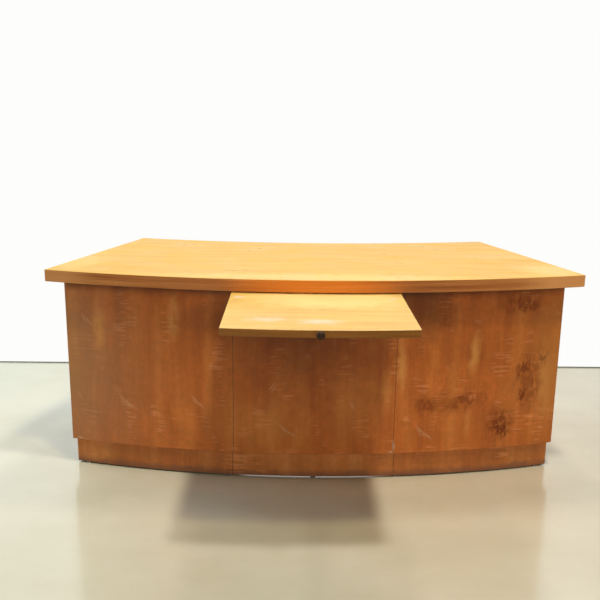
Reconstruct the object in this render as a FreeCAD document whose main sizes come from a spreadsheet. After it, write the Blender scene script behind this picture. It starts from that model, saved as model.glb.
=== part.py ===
import FreeCAD, Part
import math
import os
import re

import Sketcher

# Bow-front executive desk with two pedestals and a writing slide on the visitor's side.
#
# Frame: millimetres, +Z up, the floor at z = 0.  +X runs to the right as a visitor faces the desk,
# +Y runs from the visitor to the seated user.  The origin lies on the floor, in the middle of the
# box that holds the desk with its writing slide pulled out, which is how the desk is modelled.
#
# Plan: both long edges of the top are arcs that bow towards the visitor, so the front is convex and
# the user's side is hollow.  The two ends draw in towards the user.  Panels, rails, plinths and
# drawer fronts follow the same two arcs and the same end line, each set in by its own distance.

# Driving dimensions.
SIZES = {
    # Whole desk
    "desk_height": 750,
    "glide_height": 6,
    "glide_radius": 9,
    "plinth_height": 92,
    "running_gap": 0.3,
    # Top
    "top_thickness": 42,
    "top_front_width": 1900,
    "top_rear_width": 1476,
    "top_depth": 723,
    "front_bow_radius": 3300,
    "rear_bow_radius": 3080,
    "lipping_width": 6,
    # Carcass
    "front_overhang": 60,
    "side_overhang": 37,
    "rear_overhang": 30,
    "panel_thickness": 19,
    "bay_width": 576,
    "inner_side_thickness": 18,
    "bottom_board_thickness": 18,
    "dust_board_thickness": 16,
    "top_rail_thickness": 20,
    "top_rail_width": 60,
    "kneehole_rail_height": 30,
    "kneehole_rail_thickness": 20,
    # Plinth
    "plinth_recess": 11,
    "plinth_thickness": 18,
    "centre_plinth_width": 586,
    "corner_block_size": 30,
    # Pedestal drawers
    "top_drawer_height": 120,
    "middle_drawer_height": 150,
    "drawer_front_thickness": 20,
    "drawer_front_gap": 1.5,
    "drawer_board_thickness": 12,
    "drawer_bottom_thickness": 6,
    "drawer_bottom_rise": 8,
    "drawer_groove_depth": 6,
    "drawer_side_gap": 2,
    "drawer_headroom": 14,
    "drawer_back_drop": 6,
    "drawer_rear_space": 44.3,
    "box_setback": 0.5,
    "guide_width": 16,
    "guide_height": 20,
    "guide_gap": 1,
    "guide_end_gap": 2,
    "stop_length": 60,
    "stop_width": 16,
    "stop_height": 30,
    # Lapped dovetails that join the drawer sides to the fronts
    "dovetail_pitch": 60,
    "tail_length": 14,
    "tail_rooting": 2,
    "pin_half_width": 7,
    # Centre drawer
    "centre_drawer_height": 66,
    "centre_drawer_rear_space": 244,
    "centre_box_height": 40,
    "centre_runner_width": 20,
    "centre_runner_height": 16,
    # Writing slide
    "slide_thickness": 22.5,
    "slide_top_gap": 5,
    "slide_panel_gap": 2.5,
    "slide_side_gap": 1.5,
    "slide_rear_space": 23,
    "slide_showing": 449,
    "slide_bow_radius": 2600,
    "slide_lipping": 10,
    "slide_runner_width": 20,
    "slide_runner_height": 20,
    "slide_stop_inset": 110,
    "slide_stop_length": 60,
    "slide_stop_width": 22,
    "slide_stop_height": 14,
    # Turned knobs
    "knob_length": 22,
    "knob_radius": 12.5,
    "knob_neck_length": 9,
    "knob_neck_radius": 5,
}

# A dovetail widens by one part in this many of its length, on each side
TAIL_SLOPE = 6

# Places and lengths that follow from the driving dimensions.
FITS = {
    "half_front": "top_front_width / 2",
    "half_rear": "top_rear_width / 2",
    "half_bay": "bay_width / 2",
    "front_sagitta": "front_bow_radius - sqrt(front_bow_radius^2 - half_front^2)",
    # Foremost point of the top, placed so that the origin is in the middle of the desk's depth
    "top_apex": "(slide_showing + knob_length - front_sagitta - top_depth) / 2",
    "front_corner": "top_apex + front_sagitta",
    "rear_corner": "front_corner + top_depth",
    # Centres of the two families of arcs, on the middle line
    "bow_centre": "top_apex + front_bow_radius",
    "rear_centre": "rear_corner + sqrt(rear_bow_radius^2 - half_rear^2)",
    # End line: how far it draws in for each millimetre of depth, and its X carried to y = 0
    "side_taper": "(half_front - half_rear) / top_depth",
    "side_secant": "sqrt(1 + side_taper^2)",
    "side_line": "half_front + side_taper * front_corner",
    # Radii of the carcass faces
    "panel_radius": "front_bow_radius - front_overhang",
    "panel_back_radius": "panel_radius - panel_thickness",
    "carcass_rear_radius": "rear_bow_radius + rear_overhang",
    "front_back_radius": "carcass_rear_radius + drawer_front_thickness",
    # Heights
    "top_underside": "desk_height - top_thickness",
    "carcass_base": "glide_height + plinth_height",
    "slide_base": "top_underside - slide_top_gap - slide_thickness",
    "centre_panel_top": "slide_base - slide_panel_gap",
    "rail_base": "top_underside - top_rail_thickness",
    "kneehole_rail_base": "top_underside - kneehole_rail_height",
    "bottom_drawer_base": "carcass_base + bottom_board_thickness",
    "top_drawer_base": "rail_base - top_drawer_height",
    "upper_dust_base": "top_drawer_base - dust_board_thickness",
    "middle_drawer_base": "upper_dust_base - middle_drawer_height",
    "lower_dust_base": "middle_drawer_base - dust_board_thickness",
    "bottom_drawer_height": "lower_dust_base - bottom_drawer_base",
    "centre_drawer_base": "kneehole_rail_base - centre_drawer_height",
    "slide_runner_base": "slide_base - running_gap - slide_runner_height",
    "slide_kicker_height": "slide_top_gap - running_gap",
    "slide_kicker_base": "top_underside - slide_kicker_height",
    "centre_box_base": "centre_drawer_base + drawer_front_gap",
    "centre_runner_base": "centre_box_base - running_gap - centre_runner_height",
    # Plan lines
    "pedestal_inner": "half_bay + inner_side_thickness",
    "half_centre_plinth": "centre_plinth_width / 2",
    "slide_half_width": "half_bay - slide_side_gap",
    "slide_apex": "top_apex - slide_showing",
    "slide_travel": "slide_showing + front_overhang",
    "slide_board_radius": "slide_bow_radius - slide_lipping",
    "slide_centre": "slide_apex + slide_bow_radius",
}


class Arc:
    """Edge of an outline that bows towards the visitor, so its centre has the higher Y."""

    def __init__(self, radius):
        self.radius = radius


def side_x(y, inset):
    """X of the desk's end line at y, moved in by inset."""
    return f"(side_line - side_taper * ({y}) - ({inset}) * side_secant)"


def crossing_y(inset, centre, radius):
    """Y where the end line, moved in by inset, meets the arc about (0, centre)."""
    line = f"(side_line - ({inset}) * side_secant)"
    across = f"({line} * side_taper + {centre})"
    inside = f"({line}^2 + {centre}^2 - ({radius})^2)"
    return f"({across} - sqrt({across}^2 - side_secant^2 * {inside})) / side_secant^2"


def front_y(x, radius):
    """Y at x of the arc of this radius about the front bow's centre."""
    return f"(bow_centre - sqrt(({radius})^2 - ({x})^2))"


def rear_y(x, radius):
    """Y at x of the arc of this radius about the rear bow's centre."""
    return f"(rear_centre - sqrt(({radius})^2 - ({x})^2))"


def slide_y(x, radius):
    """Y at x of the arc of this radius about the centre of the writing slide's front edge."""
    return f"(slide_centre - sqrt(({radius})^2 - ({x})^2))"


# Corners in plan, on the right-hand end: how far the end line is set in, and the arc it meets.
SIDE_INNER = "side_overhang + panel_thickness"
PLINTH_LINE = "side_overhang + plinth_recess"
PLINTH_INNER = "side_overhang + plinth_recess + plinth_thickness"
CORNERS = {
    "core_front": ("lipping_width", "bow_centre", "front_bow_radius - lipping_width"),
    "lip_front": ("0", "bow_centre", "front_bow_radius - lipping_width"),
    "core_rear": ("lipping_width", "rear_centre", "rear_bow_radius + lipping_width"),
    "lip_rear": ("0", "rear_centre", "rear_bow_radius + lipping_width"),
    "panel_face": ("side_overhang", "bow_centre", "panel_radius"),
    "panel_back": ("side_overhang", "bow_centre", "panel_back_radius"),
    "side_front": (SIDE_INNER, "bow_centre", "panel_back_radius"),
    "side_rear_outer": ("side_overhang", "rear_centre", "carcass_rear_radius"),
    "side_rear_inner": (SIDE_INNER, "rear_centre", "carcass_rear_radius"),
    "front_rail_back": (SIDE_INNER, "bow_centre", "panel_back_radius - top_rail_width"),
    "rear_rail_back": (SIDE_INNER, "rear_centre", "carcass_rear_radius + top_rail_width"),
    "plinth_face": (PLINTH_LINE, "bow_centre", "panel_radius - plinth_recess"),
    "plinth_back": (PLINTH_LINE, "bow_centre", "panel_radius - plinth_recess - plinth_thickness"),
    "plinth_inside": (PLINTH_INNER, "bow_centre", "panel_radius - plinth_recess - plinth_thickness"),
    "plinth_rear_outer": (PLINTH_LINE, "rear_centre", "carcass_rear_radius + plinth_recess"),
    "plinth_rear_inner": (PLINTH_INNER, "rear_centre", "carcass_rear_radius + plinth_recess"),
    "plinth_rear_back": (
        PLINTH_INNER,
        "rear_centre",
        "carcass_rear_radius + plinth_recess + plinth_thickness",
    ),
}
for corner_name, (corner_inset, corner_centre, corner_radius) in CORNERS.items():
    FITS[corner_name + "_y"] = crossing_y(corner_inset, corner_centre, corner_radius)
    FITS[corner_name + "_x"] = side_x(corner_name + "_y", corner_inset)

FITS["plinth_face_radius"] = "panel_radius - plinth_recess"
FITS["plinth_back_radius"] = "plinth_face_radius - plinth_thickness"
FITS["plinth_rear_radius"] = "carcass_rear_radius + plinth_recess"
FITS["front_high"] = "side_rear_inner_x - drawer_front_gap"
FITS["box_high"] = "front_high - box_setback"
FITS["guide_near"] = "box_high + guide_gap"
FITS["guide_far"] = "guide_near + guide_width"
# A guide ends behind the drawer front, or sooner where the side draws in to meet it
FITS["guide_behind_front"] = rear_y("guide_near", "front_back_radius + guide_end_gap")
FITS["guide_at_side"] = f"(side_line - ({SIDE_INNER}) * side_secant - guide_far) / side_taper"
FITS["guide_end"] = "min(guide_behind_front; guide_at_side)"
FITS["drawer_back"] = front_y("box_high", "panel_back_radius") + " + drawer_rear_space"
FITS["centre_drawer_back"] = front_y("0", "panel_back_radius") + " + centre_drawer_rear_space"
# Pushed in, the slide stops a little before the rail over the kneehole
FITS["kneehole_rail_radius"] = "carcass_rear_radius + kneehole_rail_thickness"
FITS["slide_back"] = rear_y("0", "kneehole_rail_radius") + " - slide_rear_space - slide_travel"
FITS["slide_stop_y"] = front_y("slide_stop_inset + slide_stop_length", "panel_back_radius")

DOC = FreeCAD.newDocument("executive_desk")
NODES = []


def bind(text):
    """Expression in which each named size or place carries the name of its sheet."""

    def with_sheet(match):
        word = match.group(0)
        if word in SIZES:
            return "Sizes." + word
        if word in FITS:
            return "Fits." + word
        return word

    return re.sub(r"[A-Za-z_][A-Za-z_0-9]*", with_sheet, text)


def fill_sheet(name, cells):
    """Spreadsheet with one named cell in each row."""
    sheet = DOC.addObject("Spreadsheet::Sheet", name)
    for row, (alias, content) in enumerate(cells.items(), start=1):
        sheet.set(f"A{row}", alias)
        sheet.set(f"B{row}", content)
        sheet.setAlias(f"B{row}", alias)
    return sheet


SHEET = fill_sheet("Sizes", {alias: str(size) for alias, size in SIZES.items()})
fill_sheet("Fits", {alias: "=" + bind(formula) for alias, formula in FITS.items()})
DOC.recompute()


def value(text):
    """Present number that an expression gives."""
    return float(SHEET.evalExpression(bind(text)))


def origin_plane(body, role):
    """One of the body's own origin planes."""
    return next(feature for feature in body.Origin.OriginFeatures if feature.Role == role)


def arc_between(start, end, arc):
    """Arc geometry between two points, and whether it runs from start to end."""
    chord = end - start
    radius = value(arc.radius)
    normal = FreeCAD.Vector(-chord.y, chord.x, 0).normalize()
    if normal.y < 0:
        normal = -normal
    centre = (start + end) * 0.5 + normal * math.sqrt(radius**2 - (chord.Length / 2) ** 2)
    first = math.atan2(start.y - centre.y, start.x - centre.x)
    last = math.atan2(end.y - centre.y, end.x - centre.x)
    forward = (last - first) % (2 * math.pi) < math.pi
    if not forward:
        first, last = last, first
    circle = Part.Circle(centre, FreeCAD.Vector(0, 0, 1), radius)
    return Part.ArcOfCircle(circle, first, last), forward


def pin_vertex(sketch, edge, end, x, y):
    """Constrain one end of an edge to a named place."""
    for kind, text, axis in (("DistanceX", x, -2), ("DistanceY", y, -1)):
        if text == "0":
            sketch.addConstraint(Sketcher.Constraint("PointOnObject", edge, end, axis))
            continue
        distance = Sketcher.Constraint(kind, -1, 1, edge, end, value(text))
        index = sketch.addConstraint(distance)
        sketch.setExpression(f"Constraints[{index}]", bind(text))


def draw(sketch, outline):
    """Closed outline whose vertices and radii are all bound to the sheets.

    A vertex is (x, y) or (x, y, Arc), where the Arc is the edge to the next vertex.
    """
    points = [FreeCAD.Vector(value(vertex[0]), value(vertex[1]), 0) for vertex in outline]
    ends = []
    for place, vertex in enumerate(outline):
        start = points[place]
        end = points[(place + 1) % len(points)]
        if len(vertex) == 2:
            edge = sketch.addGeometry(Part.LineSegment(start, end))
            ends.append((edge, 1, 2))
            continue
        geometry, forward = arc_between(start, end, vertex[2])
        edge = sketch.addGeometry(geometry)
        ends.append((edge, 1, 2) if forward else (edge, 2, 1))
        index = sketch.addConstraint(Sketcher.Constraint("Radius", edge, value(vertex[2].radius)))
        sketch.setExpression(f"Constraints[{index}]", bind(vertex[2].radius))
    for place, (edge, first, last) in enumerate(ends):
        after, after_first, _ = ends[(place + 1) % len(ends)]
        sketch.addConstraint(Sketcher.Constraint("Coincident", edge, last, after, after_first))
        pin_vertex(sketch, edge, first, outline[place][0], outline[place][1])


def new_sketch(body, name, outlines, plane="XY_Plane", height="0"):
    """Sketch of outlines on one of the body's own planes, raised by height."""
    sketch = body.newObject("Sketcher::SketchObject", name)
    sketch.AttachmentSupport = [(origin_plane(body, plane), "")]
    sketch.MapMode = "FlatFace"
    sketch.setExpression("AttachmentOffset.Base.z", bind(height))
    for outline in outlines:
        draw(sketch, outline)
    return sketch


def grow(body, name, outlines, length, plane="XY_Plane", height="0"):
    """Pad of outlines on one of the body's own planes, from height onwards."""
    pad = body.newObject("PartDesign::Pad", name)
    pad.Profile = new_sketch(body, name + "_outline", outlines, plane, height)
    pad.setExpression("Length", bind(length))
    body.Tip = pad


def hollow(body, name, outlines, length, plane="XY_Plane", height="0"):
    """Pocket of outlines on one of the body's own planes, from height onwards."""
    pocket = body.newObject("PartDesign::Pocket", name)
    pocket.Profile = new_sketch(body, name + "_outline", outlines, plane, height)
    pocket.Reversed = True
    pocket.setExpression("Length", bind(length))
    body.Tip = pocket


def board(name, outline, base, thickness):
    """Board with this plan outline, its underside at base."""
    body = DOC.addObject("PartDesign::Body", name)
    body.Label = name
    grow(body, name + "_pad", [outline], thickness)
    body.setExpression("Placement.Base.z", bind(base))
    return body


def turned(name, profile, place, axis, angle):
    """Solid turned from a profile of (distance along its axis, radius) vertices.

    It is turned about the body's own Y axis, then the body is rotated by angle about axis.
    """
    body = DOC.addObject("PartDesign::Body", name)
    body.Label = name
    turning = body.newObject("PartDesign::Revolution", name + "_turning")
    turning.Profile = new_sketch(body, name + "_profile", [profile], plane="YZ_Plane")
    turning.ReferenceAxis = (turning.Profile[0], ["H_Axis"])
    turning.Angle = 360
    body.Tip = turning
    body.Placement = FreeCAD.Placement(FreeCAD.Vector(), FreeCAD.Rotation(axis, 1))
    body.setExpression("Placement.Rotation.Angle", bind(angle))
    for letter, text in zip("xyz", place):
        body.setExpression(f"Placement.Base.{letter}", bind(text))
    return body


def group(name, pieces):
    """Node that holds several separate pieces."""
    compound = DOC.addObject("Part::Compound", name)
    compound.Label = name
    compound.Links = pieces
    return compound


def keep(*nodes):
    """Mark objects as nodes of the desk."""
    NODES.extend(nodes)


def rectangle(low_x, high_x, low_y, high_y):
    """Plan outline of a straight board."""
    return [(low_x, low_y), (high_x, low_y), (high_x, high_y), (low_x, high_y)]


def negative(text):
    """The same distance on the other side of the middle line."""
    return "0" if text == "0" else f"-({text})"


def on_side(side, outline):
    """Outline of a right-hand piece, turned over to the left where side says so."""
    if side == "right":
        return outline
    return [(negative(vertex[0]), *vertex[1:]) for vertex in outline]


def span(side, near, far):
    """Lowest and highest X of a piece that runs from near to far of the middle line."""
    return (near, far) if side == "right" else (negative(far), negative(near))


def both_sides(make):
    """Build a piece on the left and on the right."""
    return [make(side) for side in ("left", "right")]


def bowed_strip(low_x, high_x, y_at, face_radius, back_radius):
    """Plan outline between two arcs of one family, cut off at two X places."""
    return [
        (low_x, y_at(low_x, face_radius), Arc(face_radius)),
        (high_x, y_at(high_x, face_radius)),
        (high_x, y_at(high_x, back_radius), Arc(back_radius)),
        (low_x, y_at(low_x, back_radius)),
    ]


def make_top():
    """Veneered top board and the solid lipping round its four edges."""
    core_front_radius = "front_bow_radius - lipping_width"
    core_rear_radius = "rear_bow_radius + lipping_width"
    core = [
        ("-core_front_x", "core_front_y", Arc(core_front_radius)),
        ("core_front_x", "core_front_y"),
        ("core_rear_x", "core_rear_y", Arc(core_rear_radius)),
        ("-core_rear_x", "core_rear_y"),
    ]
    front = [
        ("-half_front", "front_corner", Arc("front_bow_radius")),
        ("half_front", "front_corner"),
        ("lip_front_x", "lip_front_y", Arc(core_front_radius)),
        ("-lip_front_x", "lip_front_y"),
    ]
    rear = [
        ("-lip_rear_x", "lip_rear_y", Arc(core_rear_radius)),
        ("lip_rear_x", "lip_rear_y"),
        ("half_rear", "rear_corner", Arc("rear_bow_radius")),
        ("-half_rear", "rear_corner"),
    ]
    end = [
        ("core_front_x", "core_front_y", Arc(core_front_radius)),
        ("lip_front_x", "lip_front_y"),
        ("lip_rear_x", "lip_rear_y", Arc(core_rear_radius)),
        ("core_rear_x", "core_rear_y"),
    ]

    def end_lipping(side):
        """Strip along one end of the top."""
        return board(f"{side}_top_lipping", on_side(side, end), "top_underside", "top_thickness")

    keep(
        board("top_board", core, "top_underside", "top_thickness"),
        board("top_front_lipping", front, "top_underside", "top_thickness"),
        board("top_rear_lipping", rear, "top_underside", "top_thickness"),
        group("top_end_lippings", both_sides(end_lipping)),
    )


def make_pedestal(side):
    """Front panel, two sides, floor, dust boards and top rails of one pedestal."""
    full_height = "top_underside - carcass_base"
    inner_front_y = front_y("pedestal_inner", "panel_back_radius")
    inner_rear_y = rear_y("pedestal_inner", "carcass_rear_radius")
    front_panel = [
        ("half_bay", front_y("half_bay", "panel_radius"), Arc("panel_radius")),
        ("panel_face_x", "panel_face_y"),
        ("panel_back_x", "panel_back_y", Arc("panel_back_radius")),
        ("half_bay", front_y("half_bay", "panel_back_radius")),
    ]
    outer_side = [
        ("side_front_x", "side_front_y", Arc("panel_back_radius")),
        ("panel_back_x", "panel_back_y"),
        ("side_rear_outer_x", "side_rear_outer_y", Arc("carcass_rear_radius")),
        ("side_rear_inner_x", "side_rear_inner_y"),
    ]
    inner_side = [
        ("half_bay", front_y("half_bay", "panel_back_radius"), Arc("panel_back_radius")),
        ("pedestal_inner", inner_front_y),
        ("pedestal_inner", inner_rear_y, Arc("carcass_rear_radius")),
        ("half_bay", rear_y("half_bay", "carcass_rear_radius")),
    ]
    floor = [
        ("pedestal_inner", inner_front_y, Arc("panel_back_radius")),
        ("side_front_x", "side_front_y"),
        ("side_rear_inner_x", "side_rear_inner_y", Arc("carcass_rear_radius")),
        ("pedestal_inner", inner_rear_y),
    ]
    rail_back = "panel_back_radius - top_rail_width"
    front_rail = [
        ("pedestal_inner", inner_front_y, Arc("panel_back_radius")),
        ("side_front_x", "side_front_y"),
        ("front_rail_back_x", "front_rail_back_y", Arc(rail_back)),
        ("pedestal_inner", front_y("pedestal_inner", rail_back)),
    ]
    rear_rail_back = "carcass_rear_radius + top_rail_width"
    rear_rail = [
        ("pedestal_inner", rear_y("pedestal_inner", rear_rail_back), Arc(rear_rail_back)),
        ("rear_rail_back_x", "rear_rail_back_y"),
        ("side_rear_inner_x", "side_rear_inner_y", Arc("carcass_rear_radius")),
        ("pedestal_inner", inner_rear_y),
    ]
    plan = {
        "front_panel": (front_panel, "carcass_base", full_height),
        "outer_side": (outer_side, "carcass_base", full_height),
        "inner_side": (inner_side, "carcass_base", full_height),
        "bottom_board": (floor, "carcass_base", "bottom_board_thickness"),
    }
    for name, (outline, base, thickness) in plan.items():
        keep(board(f"{side}_{name}", on_side(side, outline), base, thickness))
    floor_plan = on_side(side, floor)
    dust_boards = [
        board(f"{side}_{level}_dust_board", floor_plan, f"{level}_dust_base", "dust_board_thickness")
        for level in ("lower", "upper")
    ]
    rails = [
        board(f"{side}_{place}_top_rail", on_side(side, outline), "rail_base", "top_rail_thickness")
        for place, outline in (("front", front_rail), ("rear", rear_rail))
    ]
    keep(
        group(f"{side}_dust_boards", dust_boards),
        group(f"{side}_top_rails", rails),
    )


def make_plinth(side):
    """Recessed plinth frame under one pedestal: front strip, two returns and rear strip."""
    near = "half_centre_plinth"
    far = "half_centre_plinth + plinth_thickness"
    front = [
        (near, front_y(near, "plinth_face_radius"), Arc("plinth_face_radius")),
        ("plinth_face_x", "plinth_face_y"),
        ("plinth_back_x", "plinth_back_y", Arc("plinth_back_radius")),
        (near, front_y(near, "plinth_back_radius")),
    ]
    outer = [
        ("plinth_inside_x", "plinth_inside_y", Arc("plinth_back_radius")),
        ("plinth_back_x", "plinth_back_y"),
        ("plinth_rear_outer_x", "plinth_rear_outer_y", Arc("plinth_rear_radius")),
        ("plinth_rear_inner_x", "plinth_rear_inner_y"),
    ]
    inner = [
        (near, front_y(near, "plinth_back_radius"), Arc("plinth_back_radius")),
        (far, front_y(far, "plinth_back_radius")),
        (far, rear_y(far, "plinth_rear_radius"), Arc("plinth_rear_radius")),
        (near, rear_y(near, "plinth_rear_radius")),
    ]
    rear_inside = "plinth_rear_radius + plinth_thickness"
    rear = [
        (far, rear_y(far, rear_inside), Arc(rear_inside)),
        ("plinth_rear_back_x", "plinth_rear_back_y"),
        ("plinth_rear_inner_x", "plinth_rear_inner_y", Arc("plinth_rear_radius")),
        (far, rear_y(far, "plinth_rear_radius")),
    ]
    keep(board(f"{side}_plinth_front", on_side(side, front), "glide_height", "plinth_height"))
    returns = [
        board(f"{side}_plinth_{place}", on_side(side, outline), "glide_height", "plinth_height")
        for place, outline in (("outer", outer), ("inner", inner), ("rear", rear))
    ]
    keep(group(f"{side}_plinth_frame", returns))


def make_centre_bay():
    """Centre front panel and plinth, the rail over the kneehole and the runners on its sides."""
    panel = bowed_strip("-half_bay", "half_bay", front_y, "panel_radius", "panel_back_radius")
    plinth = bowed_strip(
        "-half_centre_plinth", "half_centre_plinth", front_y, "plinth_face_radius", "plinth_back_radius"
    )
    rail = bowed_strip("-half_bay", "half_bay", rear_y, "kneehole_rail_radius", "carcass_rear_radius")
    keep(
        board("centre_front_panel", panel, "carcass_base", "centre_panel_top - carcass_base"),
        board("centre_plinth", plinth, "glide_height", "plinth_height"),
        board("kneehole_rail", rail, "kneehole_rail_base", "kneehole_rail_height"),
    )

    def strips(name, width, rear_radius, base, height):
        """Pair of strips along the kneehole sides, from the front panel to the rear radius."""
        near = f"half_bay - {width}"
        outline = [
            (near, front_y(near, "panel_back_radius"), Arc("panel_back_radius")),
            ("half_bay", front_y("half_bay", "panel_back_radius")),
            ("half_bay", rear_y("half_bay", rear_radius), Arc(rear_radius)),
            (near, rear_y(near, rear_radius)),
        ]

        def strip(side):
            """Strip on one side of the kneehole."""
            return board(f"{side}_{name}", on_side(side, outline), base, height)

        return group(f"{name}s", both_sides(strip))

    behind_drawer = "front_back_radius + guide_end_gap"
    to_rail = "kneehole_rail_radius"
    slide_runner = ("slide_runner_width", behind_drawer, "slide_runner_base", "slide_runner_height")
    slide_kicker = ("slide_runner_width", to_rail, "slide_kicker_base", "slide_kicker_height")
    drawer_runner = ("centre_runner_width", behind_drawer, "centre_runner_base", "centre_runner_height")
    keep(
        strips("slide_runner", *slide_runner),
        strips("slide_kicker", *slide_kicker),
        strips("centre_drawer_runner", *drawer_runner),
    )


def dovetails(low, high, height, lift="0"):
    """Dovetails on the end of a drawer side, seen square to it: each widens into the drawer front.

    The side runs from low to high in X, it is as high as height and its underside is at lift.
    """
    count = max(1, round(value(f"({height}) / dovetail_pitch")))
    shoulders = [rear_y(x, "front_back_radius") for x in (low, high)]
    shoulder = f"min({shoulders[0]}; {shoulders[1]})"
    root = f"{shoulder} - tail_rooting"
    end = f"{shoulder} + tail_length"
    flare = f"(tail_rooting + tail_length) / {TAIL_SLOPE}"
    outlines = []
    for tail in range(count):
        bottom = f"{lift} + ({height}) * {tail} / {count} + pin_half_width"
        top = f"{lift} + ({height}) * {tail + 1} / {count} - pin_half_width"
        outlines.append(
            [(root, bottom), (end, f"{bottom} - {flare}"), (end, f"{top} + {flare}"), (root, top)]
        )
    return outlines


class Drawer:
    """Drawer with a curved front, dovetailed sides, a bottom in grooves and a turned knob.

    The front fills an opening from base upwards, and the box behind it stands lift over base.
    The two spans are the lowest and highest X of the front and of the box.
    """

    def __init__(self, name, front_span, box_span, back_y, base, opening_height, box_height, lift):
        self.name = name
        self.front_low, self.front_high = front_span
        self.low, self.high = box_span
        self.left_inside = f"{self.low} + drawer_board_thickness"
        self.right_inside = f"{self.high} - drawer_board_thickness"
        self.back_y = back_y
        self.base = base
        self.opening_height = opening_height
        self.box_height = box_height
        self.lift = lift

    def floor_outline(self):
        """Plan of the bottom, which reaches into the grooves of the sides and the front."""
        radius = "front_back_radius - drawer_groove_depth"
        low = f"{self.low} + drawer_groove_depth"
        high = f"{self.high} - drawer_groove_depth"
        return [
            (low, self.back_y),
            (high, self.back_y),
            (high, rear_y(high, radius), Arc(radius)),
            (low, rear_y(low, radius)),
        ]

    def front(self):
        """Curved front, grooved for the bottom and with sockets for the dovetails of both sides."""
        outline = bowed_strip(
            self.front_low, self.front_high, rear_y, "front_back_radius", "carcass_rear_radius"
        )
        body = board(
            f"{self.name}_front",
            outline,
            f"{self.base} + drawer_front_gap",
            f"{self.opening_height} - 2 * drawer_front_gap",
        )
        box_lift = f"{self.lift} - drawer_front_gap"
        hollow(
            body,
            f"{self.name}_front_groove",
            [self.floor_outline()],
            "drawer_bottom_thickness",
            height=f"{box_lift} + drawer_bottom_rise",
        )
        for place, low, high, socket_low, socket_high in (
            ("left", self.low, self.left_inside, self.front_low, self.left_inside),
            ("right", self.right_inside, self.high, self.right_inside, self.front_high),
        ):
            hollow(
                body,
                f"{self.name}_{place}_sockets",
                dovetails(low, high, self.box_height, box_lift),
                f"({socket_high}) - ({socket_low})",
                plane="YZ_Plane",
                height=socket_low,
            )
        return body

    def side(self, place, low, high):
        """Straight side with dovetails on its end and a groove for the bottom."""
        outline = [
            (low, self.back_y),
            (high, self.back_y),
            (high, rear_y(high, "front_back_radius"), Arc("front_back_radius")),
            (low, rear_y(low, "front_back_radius")),
        ]
        body = board(f"{self.name}_{place}_side", outline, f"{self.base} + {self.lift}", self.box_height)
        grow(
            body,
            f"{self.name}_{place}_tails",
            dovetails(low, high, self.box_height),
            "drawer_board_thickness",
            plane="YZ_Plane",
            height=low,
        )
        hollow(
            body,
            f"{self.name}_{place}_groove",
            [self.floor_outline()],
            "drawer_bottom_thickness",
            height="drawer_bottom_rise",
        )
        return body

    def back(self):
        """Back that stands on the bottom, a little lower than the sides."""
        foot = "drawer_bottom_rise + drawer_bottom_thickness"
        outline = rectangle(
            self.left_inside, self.right_inside, self.back_y, f"{self.back_y} + drawer_board_thickness"
        )
        height = f"{self.box_height} - {foot} - drawer_back_drop"
        return board(f"{self.name}_back", outline, f"{self.base} + {self.lift} + {foot}", height)

    def bottom(self):
        """Thin bottom in the grooves."""
        base = f"{self.base} + {self.lift} + drawer_bottom_rise"
        return board(f"{self.name}_bottom", self.floor_outline(), base, "drawer_bottom_thickness")

    def knob(self):
        """Knob in the middle of the front, square to its curve."""
        x = f"({self.front_low} + {self.front_high}) / 2"
        y = rear_y(x, "carcass_rear_radius")
        z = f"{self.base} + {self.opening_height} / 2"
        return make_knob(f"{self.name}_knob", (x, y, z), f"asin({x} / carcass_rear_radius) / 1deg")

    def make(self):
        """Build the drawer as three nodes: front, box and knob."""
        box = [
            self.side("left", self.low, self.left_inside),
            self.side("right", self.right_inside, self.high),
            self.back(),
            self.bottom(),
        ]
        keep(self.front(), group(f"{self.name}_box", box), self.knob())


def make_knob(name, place, angle):
    """Round knob: a neck and a drum-shaped head, its axis along +Y before it is turned."""
    profile = [
        ("0", "0"),
        ("0", "knob_neck_radius"),
        ("knob_neck_length", "knob_neck_radius"),
        ("knob_neck_length", "knob_radius"),
        ("knob_length", "knob_radius"),
        ("knob_length", "0"),
    ]
    return turned(name, profile, place, FreeCAD.Vector(0, 0, 1), angle)


def make_pedestal_drawers(side):
    """Three drawers of one pedestal with their guide strips and closing stops."""
    front_span = span(side, "pedestal_inner + drawer_front_gap", "front_high")
    box_span = span(side, "pedestal_inner + drawer_side_gap", "box_high")
    guide = on_side(side, rectangle("guide_near", "guide_far", "drawer_back", "guide_end"))
    middle = "(pedestal_inner + box_high) / 2"
    stop = on_side(
        side,
        rectangle(
            f"{middle} - stop_length / 2",
            f"{middle} + stop_length / 2",
            "drawer_back - running_gap - stop_width",
            "drawer_back - running_gap",
        ),
    )
    guides = []
    stops = []
    for level in ("bottom", "middle", "top"):
        name = f"{side}_{level}_drawer"
        base = f"{level}_drawer_base"
        height = f"{level}_drawer_height"
        drawer = Drawer(
            name,
            front_span,
            box_span,
            back_y="drawer_back",
            base=base,
            opening_height=height,
            box_height=f"{height} - drawer_headroom",
            lift="running_gap",
        )
        drawer.make()
        guides.append(board(f"{name}_guide", guide, base, "guide_height"))
        stops.append(board(f"{name}_stop", stop, base, "stop_height"))
    keep(group(f"{side}_drawer_guides", guides), group(f"{side}_drawer_stops", stops))


def make_centre_drawer():
    """Shallow drawer over the kneehole, on its own runners under the writing slide."""
    reach = "half_bay - drawer_front_gap"
    box_reach = "half_bay - drawer_side_gap"
    drawer = Drawer(
        "centre_drawer",
        (negative(reach), reach),
        (negative(box_reach), box_reach),
        back_y="centre_drawer_back",
        base="centre_drawer_base",
        opening_height="centre_drawer_height",
        box_height="centre_box_height",
        lift="drawer_front_gap",
    )
    drawer.make()


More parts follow.
